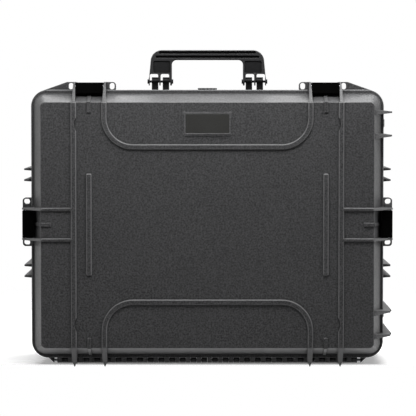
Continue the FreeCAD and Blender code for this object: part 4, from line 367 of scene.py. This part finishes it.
# %% Sharp edges and soft roundings
SHARP_TURN = math.radians(50)  # always an edge
BEVEL_TURN, BEVEL_MM = math.radians(35), 1.7  # an edge, unless a face beside it is this narrow
PLAIN_TURN, STRIP_MM = math.radians(30), 3.2
TINY = 1e-9


def strip_width(face):
    """How wide a face is, taken as a long strip."""
    return 2 * face.calc_area() / max(face.calc_perimeter(), TINY)


def mark_edges(shape):
    """Smooth faces with sharp edges. Narrow strips belong to a rounding, so their edges stay soft."""
    for face in shape.faces:
        face.smooth = True
    for edge in shape.edges:
        if len(edge.link_faces) != 2:
            edge.smooth = False
            continue
        turn = edge.calc_face_angle(0.0)
        width = min(strip_width(face) for face in edge.link_faces)
        plain = turn > PLAIN_TURN and width > STRIP_MM * MM
        bevel = turn > BEVEL_TURN and width > BEVEL_MM * MM
        edge.smooth = not (turn > SHARP_TURN or plain or bevel)


print("faces narrower than", BEVEL_MM, "mm count as a rounding")

# %% [markdown]
# Hands and tables rub a case where it stands out. The narrow outer strips of its roundings get wear
# and a painted highlight, fully where they face up or out, towards the lamps, and hardly where they
# face down. The upright strips of the frame of the plate and of the lowest part get half of it. The
# underside near the floor and the hinge knuckles get painted light, as from the floor, instead. The
# four rounded corners of the case are left unmarked.

# %% Where the case stands out
WEAR_TURN, WEAR_MM = math.radians(4), 1.6  # a narrow strip may turn this little
RIDGE_TURN = math.radians(16)  # a wider one has to turn this much
RIDGE_MM = {"front_handle": 3.7, "lid_shell": 4.2}  # pieces with wider rounded ridges
OUTER_SHARE = 4  # an outer strip bends this much more outwards than inwards
CORNER_X_MM = 288
CORNER_Z_MM = (62, 470)
PAD_MARGIN = Vector((4 * MM, 8 * MM, 4 * MM))


def span(node):
    """Lowest and highest corner of a solid."""
    points = [vertex.co for vertex in nodes[node].data.vertices]
    return Vector(map(min, zip(*points))), Vector(map(max, zip(*points)))


def stands_out(face, width_mm):
    """Whether a face is a narrow strip of an outer rounding. A wider strip has to turn more."""
    width = strip_width(face)
    turn = WEAR_TURN if width < WEAR_MM * MM else RIDGE_TURN
    bends = [e for e in face.edges if len(e.link_faces) == 2 and e.calc_face_angle(0.0) > turn]
    outer = sum(edge.calc_length() for edge in bends if edge.is_convex)
    inner = sum(edge.calc_length() for edge in bends if not edge.is_convex)
    return width < width_mm * MM and outer > OUTER_SHARE * inner


def at_corner(point):
    """Whether a point lies in one of the four rounded corners of the case."""
    return abs(point.x) > CORNER_X_MM * MM and not CORNER_Z_MM[0] * MM < point.z < CORNER_Z_MM[1] * MM


plate_low, plate_high = span("name_plate")
PAD_LOW, PAD_HIGH = plate_low - PAD_MARGIN, plate_high + PAD_MARGIN
print("frame of the plate, mm:", [round(v / MM) for v in PAD_HIGH - PAD_LOW])

# %% [markdown]
# The marks are one number per face. A number on the faces, not a painted map, follows the shape if
# the solids change, and the shader reads it as an attribute.

# %% Wear with painted highlight, and painted light underneath
FLOOR_LIGHT_PAINTED = 0.65  # how far a face goes towards the edge colour, for painted light on the underside and knuckles
LOW_PART_MM = 45
KNUCKLE_HEIGHT_MM = 15
TILT_UP, TILT_DOWN, UNDERSIDE = 0.3, -0.3, -0.5  # upward part of the normal
# share of the wear and painted highlight: half on upright strips, hardly any on faces turned down
HALF_LIT, HARDLY_LIT = 0.45, 0.1


def mark_wear_and_light(shape, node):
    """The face attribute for wear with a painted highlight, and for painted light on the underside and
    knuckles.
    """
    # the layer holds wear, painted highlight and painted floor light
    wear = shape.faces.layers.float.new("edge_wear_and_highlight")
    on_lid = node == "lid_shell"
    for face in shape.faces:
        middle, up = face.calc_center_median(), face.normal.z
        knuckle = on_lid and middle.z < KNUCKLE_HEIGHT_MM * MM
        by_plate = on_lid and all(a < v < b for a, v, b in zip(PAD_LOW, middle, PAD_HIGH))
        low_down = middle.z < LOW_PART_MM * MM
        upright = HALF_LIT if by_plate or low_down else 1.0
        share = 1.0 if up > TILT_UP else upright if up > TILT_DOWN else HARDLY_LIT
        # painted light, as from the floor, on the low underside and the hinge knuckles
        if knuckle or (low_down and up < UNDERSIDE):
            face[wear] = FLOOR_LIGHT_PAINTED
        # wear with a painted highlight, by which way the strip faces
        elif not at_corner(middle) and stands_out(face, RIDGE_MM.get(node, WEAR_MM)):
            face[wear] = EDGE_WEAR_AND_HIGHLIGHT * share


print("undersides are scuffed up to", LOW_PART_MM, "mm")

# %% [markdown]
# A broad face should look flat right up to its rounding. Plain smooth shading bends it, because every
# face counts the same. So the normal at each corner is the mean of the faces round it, weighed by
# area: a broad face keeps its own, and the strips of a rounding blend between. Sharp edges are split
# for the sum, so that nothing blends across them.

# %% Normals weighed by area
MERGE_DISTANCE = 1e-6
FLAT_TURN = math.radians(0.2)
NO_LENGTH = 1e-15


def blended_normals(apart):
    """A normal for every face corner: the mean of the faces round its point, weighed by their area."""
    corner = numpy.empty(len(apart.loops), dtype=numpy.int32)
    apart.loops.foreach_get("vertex_index", corner)
    normal = numpy.empty(3 * len(apart.polygons), dtype=numpy.float32)
    apart.polygons.foreach_get("normal", normal)
    area = numpy.empty(len(apart.polygons), dtype=numpy.float32)
    apart.polygons.foreach_get("area", area)
    corners = numpy.empty(len(apart.polygons), dtype=numpy.int32)
    apart.polygons.foreach_get("loop_total", corners)
    total = numpy.zeros((len(apart.vertices), 3))
    numpy.add.at(total, corner, numpy.repeat(normal.reshape(-1, 3) * area[:, None], corners, axis=0))
    total /= numpy.maximum(numpy.linalg.norm(total, axis=1), NO_LENGTH)[:, None]
    return total[corner].tolist()


def smooth_copy(node):
    """A merged copy of a solid. Broad faces keep their own normals, and roundings blend between them."""
    shape = bmesh.new()
    shape.from_mesh(nodes[node].data)
    bmesh.ops.remove_doubles(shape, verts=shape.verts, dist=MERGE_DISTANCE)
    bmesh.ops.dissolve_limit(shape, angle_limit=FLAT_TURN, verts=shape.verts, edges=shape.edges)
    mark_edges(shape)
    mark_wear_and_light(shape, node)
    mesh = bpy.data.meshes.new(node + "_merged")
    shape.to_mesh(mesh)
    bmesh.ops.split_edges(shape, edges=[edge for edge in shape.edges if not edge.smooth])
    apart = bpy.data.meshes.new(node + "_apart")
    shape.to_mesh(apart)
    shape.free()
    mesh.normals_split_custom_set(blended_normals(apart))
    bpy.data.meshes.remove(apart)
    return mesh


print("loose triangles in the lid:", len(nodes["lid_shell"].data.polygons))

# %% [markdown]
# Now every solid is dressed. The copy takes the finish of its slot, rides on the body of its solid
# and stands for it. The solids keep their own shape for the physics.

# %% Dress the solids
def put_in_scene(name, mesh, body):
    """A finished piece: linked and riding on its body."""
    piece = bpy.data.objects.new(name, mesh)
    bpy.context.scene.collection.objects.link(piece)
    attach(piece, body)
    return piece


def dressed(node):
    """A smooth-shaded copy of a solid that stands for it, in its finish."""
    mesh = smooth_copy(node)
    mesh.materials.clear()
    mesh.materials.append(finish_of(node))
    piece = put_in_scene(node + "_dressed", mesh, body_of[node])
    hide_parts(node)
    return piece


for node in nodes:
    nodes[node].data.materials.clear()
    nodes[node].data.materials.append(finish_of(node))
pieces = {node: dressed(node) for node in nodes}
print("dressed solids:", len(pieces))

# %% [markdown]
# The two springs behind the button of the pull handle shorten as it is pressed, while their inner
# ends stay where they are. Here the dressed springs only get a mesh of their own.

# %% Springs of the button
low, high = span("trolley_button_springs")
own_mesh(pieces["trolley_button_springs"])

# %% [markdown]
# Some moulded details repeat and are too fine for the solids: ridges that keep a thumb on the lip of
# each latch lever, finger ridges behind the pull grip, and the tread of the tyres. Two node trees lay
# them out, one in a row and one in a ring, so that a count or a size is changed in one place.

# %% Trees for rows and rings of ridges
TREE_INPUTS = {
    "Count": "Int", "Start": "Vector", "Step": "Vector",
    "Size": "Vector", "Radius": "Float", "Finish": "Material",
}


def ridge_tree(name, ring):
    """A node tree that repeats a small block, along a line or round a ring."""
    tree = bpy.data.node_groups.new(name, "GeometryNodeTree")
    for key, kind in TREE_INPUTS.items():
        tree.interface.new_socket(key, in_out="INPUT", socket_type="NodeSocket" + kind)
    tree.interface.new_socket("Geometry", in_out="OUTPUT", socket_type="NodeSocketGeometry")
    given = add_node(tree, "NodeGroupInput").outputs
    block = add_node(tree, "GeometryNodeMeshCube", inputs={"Size": given["Size"]})
    if ring:
        line = add_node(tree, "GeometryNodeMeshCircle", inputs={
            "Vertices": given["Count"], "Radius": given["Radius"]})
        spot = add_node(tree, "GeometryNodeInputPosition").outputs[0]
        turn = add_node(tree, "FunctionNodeAlignRotationToVector", {"axis": "X"}, {
            "Vector": spot}).outputs[0]
    else:
        line = add_node(tree, "GeometryNodeMeshLine", inputs={
            "Count": given["Count"], "Offset": given["Step"]})
        turn = (0.0, 0.0, 0.0)
    blocks = add_node(tree, "GeometryNodeInstanceOnPoints", inputs={
        "Points": line.outputs["Mesh"], "Instance": block.outputs["Mesh"], "Rotation": turn})
    moved = add_node(tree, "GeometryNodeTransform", inputs={
        "Geometry": blocks.outputs[0], "Translation": given["Start"]})
    real = add_node(tree, "GeometryNodeRealizeInstances", inputs={"Geometry": moved.outputs[0]})
    finished = add_node(tree, "GeometryNodeSetMaterial", inputs={
        "Geometry": real.outputs[0], "Material": given["Finish"]})
    add_node(tree, "NodeGroupOutput", inputs={"Geometry": finished.outputs[0]})
    return tree


ridge_row = ridge_tree("ridge_row", False)
ridge_ring = ridge_tree("ridge_ring", True)
print("trees:", ridge_row.name, ridge_ring.name)

# %% [markdown]
# A tree needs an object to run on. A holder carries it as a modifier, the result is kept as a plain
# mesh, and the holder is thrown away, so each piece is a mesh like any other, on its own body.

# %% From a tree to a plain mesh
def laid_out(name, tree, like, **values):
    """The ridges of a tree as a plain mesh, on the body and in the finish of a solid."""
    holder = bpy.data.objects.new(name, bpy.data.meshes.new(name))
    bpy.context.scene.collection.objects.link(holder)
    modifier = holder.modifiers.new("ridges", "NODES")
    modifier.node_group = tree
    values["Finish"] = FINISHES[slot_of[like]]
    for item in tree.interface.items_tree:
        if item.in_out == "INPUT" and item.name in values:
            modifier[item.identifier] = values[item.name]
    evaluated = holder.evaluated_get(bpy.context.evaluated_depsgraph_get())
    mesh = bpy.data.meshes.new_from_object(evaluated)
    bpy.data.objects.remove(holder)
    return put_in_scene(name, mesh, body_of[like])


print("inputs of a tree:", list(TREE_INPUTS))

# %% [markdown]
# The lip of a lever rises 1 mm over its last 9 mm, so each row climbs with it. The ridges start just
# inside the edge of the lip. The front levers lie on top of the case, and the other two at its sides.

# %% Lever ridges
# Each lever with its way out of the case, as X and Z.
LEVERS = {"front_left": (0, 1), "front_right": (0, 1), "left": (-1, 0), "right": (1, 0)}
LIP_RISE = 1 / 9
LIP_INSET_MM = 1.3
RIDGE_COUNT = 4
RIDGE_STEP_MM = 2.2
RIDGE_DEEP_MM, RIDGE_HIGH_MM = 1.0, 0.9
LEVER_SHARE = 0.82  # how much of the lever's width a ridge takes

for name, way in LEVERS.items():
    lever = name + "_latch_lever"
    low, high = span(lever)
    middle = (low + high) / 2
    outwards = Vector((way[0], 0, way[1]))
    along = Vector((way[1], 0, abs(way[0])))
    top = high if sum(way) > 0 else low
    start = Vector((
        top.x if way[0] else middle.x, high.y - LIP_INSET_MM * MM, top.z if way[1] else middle.z))
    step = Vector((0, -RIDGE_STEP_MM * MM, 0)) - outwards * RIDGE_STEP_MM * MM * LIP_RISE
    wide = LEVER_SHARE * (high - low).dot(along)
    height = Vector(map(abs, outwards)) * RIDGE_HIGH_MM * MM
    size = along * wide + Vector((0, RIDGE_DEEP_MM * MM, 0)) + height
    laid_out(name + "_lever_ridges", ridge_row, lever, Count=RIDGE_COUNT, Start=start,
             Step=step, Size=size)
print("rows of", RIDGE_COUNT, "ridges:", len(LEVERS))

# %% [markdown]
# The finger ridges sit on the inner half of the pull grip, in one row about its middle. The tread is a
# ring of low bars across each tyre, sunk a little over half their height into the rubber.

# %% Finger ridges and tread
GRIP_COUNT = 10
GRIP_STEP_MM = 8
GRIP_RIDGE = Vector((1.0 * MM, 13 * MM, 3 * MM))
TREAD_COUNT = 48
TREAD_SUNK_MM = 0.1
TREAD_BAR = Vector((0.8 * MM, 2.2 * MM, 14 * MM))

low, high = span("trolley_grip_inner")
half_row = (GRIP_COUNT - 1) / 2 * GRIP_STEP_MM * MM
start = Vector((high.x, (low.y + high.y) / 2, (low.z + high.z) / 2 - half_row))
laid_out("pull_grip_ridges", ridge_row, "trolley_grip_inner", Count=GRIP_COUNT, Start=start,
         Step=Vector((0, 0, GRIP_STEP_MM * MM)), Size=GRIP_RIDGE)

for name in ("upper_wheel", "lower_wheel"):
    low, high = span(name + "_tyre")
    laid_out(name + "_tread", ridge_ring, name + "_tyre", Count=TREAD_COUNT, Start=(low + high) / 2,
             Radius=(high.x - low.x) / 2 - TREAD_SUNK_MM * MM, Size=TREAD_BAR)

# %% [markdown]
# The studio is a pale paper floor in a white surround. A floor that ran to the horizon would turn grey
# where the lamps don't reach, so it is solid near the case, where it holds the shadow, and fades out
# to the white world within two metres. The paper is white to the camera and in shiny surfaces, and
# grey to the light that it throws back, so the foot of the case stays dark. A faint glow keeps the
# shadow grey, so that the feet show against it. The lid opens past the level of the floor, so in front
# of the case the paper is clear to the camera, to shiny surfaces and to the lamps.

# %% Paper of the floor
FLOOR_SOLID, FLOOR_GONE = 0.55, 1.7  # metres from the middle
OPEN_FROM, OPEN_TO = -0.06, -0.09  # Y where the paper starts to clear, and where it is clear
SHADOW_LIFT = 0.22


def floor_paper():
    """White paper that shows the shadow, fades outwards and is clear ahead of the case."""
    material, tree, shader, place = new_finish(
        "pale_paper_floor", Roughness=0.9, **{"Emission Color": (1, 1, 1, 1)})
    ray = add_node(tree, "ShaderNodeLightPath").outputs
    shiny = add_node(tree, "ShaderNodeMath", {"operation": "MAXIMUM"}, {
        0: ray["Is Glossy Ray"], 1: ray["Is Transmission Ray"]})
    seen = add_node(tree, "ShaderNodeMath", {"operation": "MAXIMUM"}, {
        0: ray["Is Camera Ray"], 1: shiny.outputs[0]}).outputs[0]
    paper = add_node(tree, "ShaderNodeMix", {"data_type": "RGBA"}, {
        "Factor": seen, "A": linear("#aaaaaa"), "B": linear("#f6f6f6")})
    glow = add_node(tree, "ShaderNodeMath", {"operation": "MULTIPLY"}, {0: seen, 1: SHADOW_LIFT})
    reach = add_node(tree, "ShaderNodeVectorMath", {"operation": "LENGTH"}, {0: place})
    fade = add_node(tree, "ShaderNodeMapRange", {"interpolation_type": "SMOOTHSTEP"}, {
        "Value": reach.outputs["Value"], "From Min": FLOOR_SOLID, "From Max": FLOOR_GONE,
        "To Min": 1.0, "To Max": 0.0})
    depth = add_node(tree, "ShaderNodeSeparateXYZ", inputs={0: place}).outputs["Y"]
    ahead = add_node(tree, "ShaderNodeMapRange", {"interpolation_type": "SMOOTHSTEP"}, {
        "Value": depth, "From Min": OPEN_FROM, "From Max": OPEN_TO, "To Min": 0.0, "To Max": 1.0})
    straight = add_node(tree, "ShaderNodeMath", {"operation": "MAXIMUM"}, {
        0: seen, 1: ray["Is Shadow Ray"]})
    opened = add_node(tree, "ShaderNodeMath", {"operation": "MULTIPLY"}, {
        0: ahead.outputs[0], 1: straight.outputs[0]})
    solid = add_node(tree, "ShaderNodeMath", {"operation": "SUBTRACT"}, {0: 1.0, 1: opened.outputs[0]})
    alpha = add_node(tree, "ShaderNodeMath", {"operation": "MULTIPLY"}, {
        0: fade.outputs[0], 1: solid.outputs[0]})
    tree.links.new(paper.outputs["Result"], shader.inputs["Base Color"])
    tree.links.new(glow.outputs[0], shader.inputs["Emission Strength"])
    tree.links.new(alpha.outputs[0], shader.inputs["Alpha"])
    return material


paper_finish = floor_paper()
print("made", paper_finish.name)

# %% [markdown]
# The floor itself is a flat disc, as wide as the fade. It belongs to the stage and not to the case.

# %% Floor
FLOOR_STEP = 6  # degrees between the corners of the disc

turns = [math.radians(angle) for angle in range(0, 360, FLOOR_STEP)]
rim = [(math.cos(turn) * FLOOR_GONE, math.sin(turn) * FLOOR_GONE, 0) for turn in turns]
floor_mesh = bpy.data.meshes.new("floor")
floor_mesh.from_pydata(rim, [], [tuple(range(len(rim)))])
floor_mesh.materials.append(paper_finish)
floor = bpy.data.objects.new("floor", floor_mesh)
bpy.context.scene.collection.objects.link(floor)
print("floor fades out at", FLOOR_GONE, "m")

# %% [markdown]
# The world is white where the camera, or a shiny surface, looks at it. Behind and beside the case that
# is the white paper of the studio, which shines in the sloped band round the lid. Towards the camera
# the room is darker, so the face of the lid stays dark. The light that falls on matt surfaces is lower.

# %% White surround
MATT_LEVEL = 0.15
FRONT_LEVEL = 0.05
DARK_UP_TO, WHITE_FROM = -0.9, 0.2  # Y of the direction that is looked in


def white_surround():
    """A world that is white to the eye, and dim to matt surfaces."""
    world = bpy.data.worlds.new("white_surround")
    world.use_nodes = True
    tree = world.node_tree
    tree.nodes.clear()
    ray = add_node(tree, "ShaderNodeLightPath").outputs
    direction = add_node(tree, "ShaderNodeTexCoord").outputs["Generated"]
    towards = add_node(tree, "ShaderNodeSeparateXYZ", inputs={0: direction})
    room = add_node(tree, "ShaderNodeMapRange", {"interpolation_type": "SMOOTHSTEP"}, {
        "Value": towards.outputs["Y"], "From Min": DARK_UP_TO, "From Max": WHITE_FROM,
        "To Min": FRONT_LEVEL, "To Max": 1.0})
    shiny = add_node(tree, "ShaderNodeMath", {"operation": "MAXIMUM"}, {
        0: ray["Is Glossy Ray"], 1: ray["Is Transmission Ray"]})
    seen = add_node(tree, "ShaderNodeMix", inputs={
        "Factor": shiny.outputs[0], "A": MATT_LEVEL, "B": room.outputs[0]})
    strength = add_node(tree, "ShaderNodeMix", inputs={
        "Factor": ray["Is Camera Ray"], "A": seen.outputs["Result"], "B": 1.0})
    shade = add_node(tree, "ShaderNodeBackground", inputs={
        "Color": (1, 1, 1, 1), "Strength": strength.outputs["Result"]})
    add_node(tree, "ShaderNodeOutputWorld", inputs={"Surface": shade.outputs[0]})
    return world


bpy.context.scene.world = white_surround()
print("world:", bpy.context.scene.world.name)

# %% [markdown]
# Four soft lamps light the case: a wide one above and behind it, which lays light along the top of
# the lid, one at each side, and one high in front, whose light falls off down the face.

# %% Lamps
LAMPS = (  # name, place, what it points at, size in metres, watts
    ("lamp_above", (0.2, 0.75, 2.3), (0, -0.05, 0.5), (2.4, 1.9), 62),
    ("lamp_left", (-2.2, -0.1, 0.9), (0, -0.1, 0.3), (0.8, 1.8), 8),
    ("lamp_right", (2.2, -0.1, 1.0), (0, -0.1, 0.3), (0.8, 1.8), 12),
    ("lamp_front", (0.12, -0.5, 1.15), (0, -0.13, 0.33), (1.5, 0.35), 18),
)

for name, place, target, size, power in LAMPS:
    light = bpy.data.lights.new(name, "AREA")
    light.shape = "RECTANGLE"
    light.size, light.size_y = size
    light.energy = power
    lamp = bpy.data.objects.new(name, light)
    lamp.location = place
    lamp.rotation_mode = "QUATERNION"
    lamp.rotation_quaternion = (Vector(target) - Vector(place)).to_track_quat("-Z", "Y")
    bpy.context.scene.collection.objects.link(lamp)

# %% [markdown]
# The photograph is taken from about four metres with a long lens, a little below the top of the lid
# and tilted slightly down, so that the sides of the case look almost parallel.

# %% Camera
CAMERA_PLACE = (0.0011, -4.08, 0.485)
CAMERA_TILT = math.radians(90 - 2.74)  # from straight down, so just below level
LENS_MM, SENSOR_MM = 186.0, 36

camera_data = bpy.data.cameras.new("camera")
camera_data.sensor_width = SENSOR_MM
camera_data.lens = LENS_MM
camera_data.clip_end = 100
camera = bpy.data.objects.new("camera", camera_data)
camera.location = CAMERA_PLACE
camera.rotation_euler = (CAMERA_TILT, 0, 0)
bpy.context.scene.collection.objects.link(camera)
bpy.context.scene.camera = camera
bpy.context.scene.view_settings.view_transform = "Standard"
print("camera sees", round(math.degrees(camera_data.angle), 2), "degrees across")
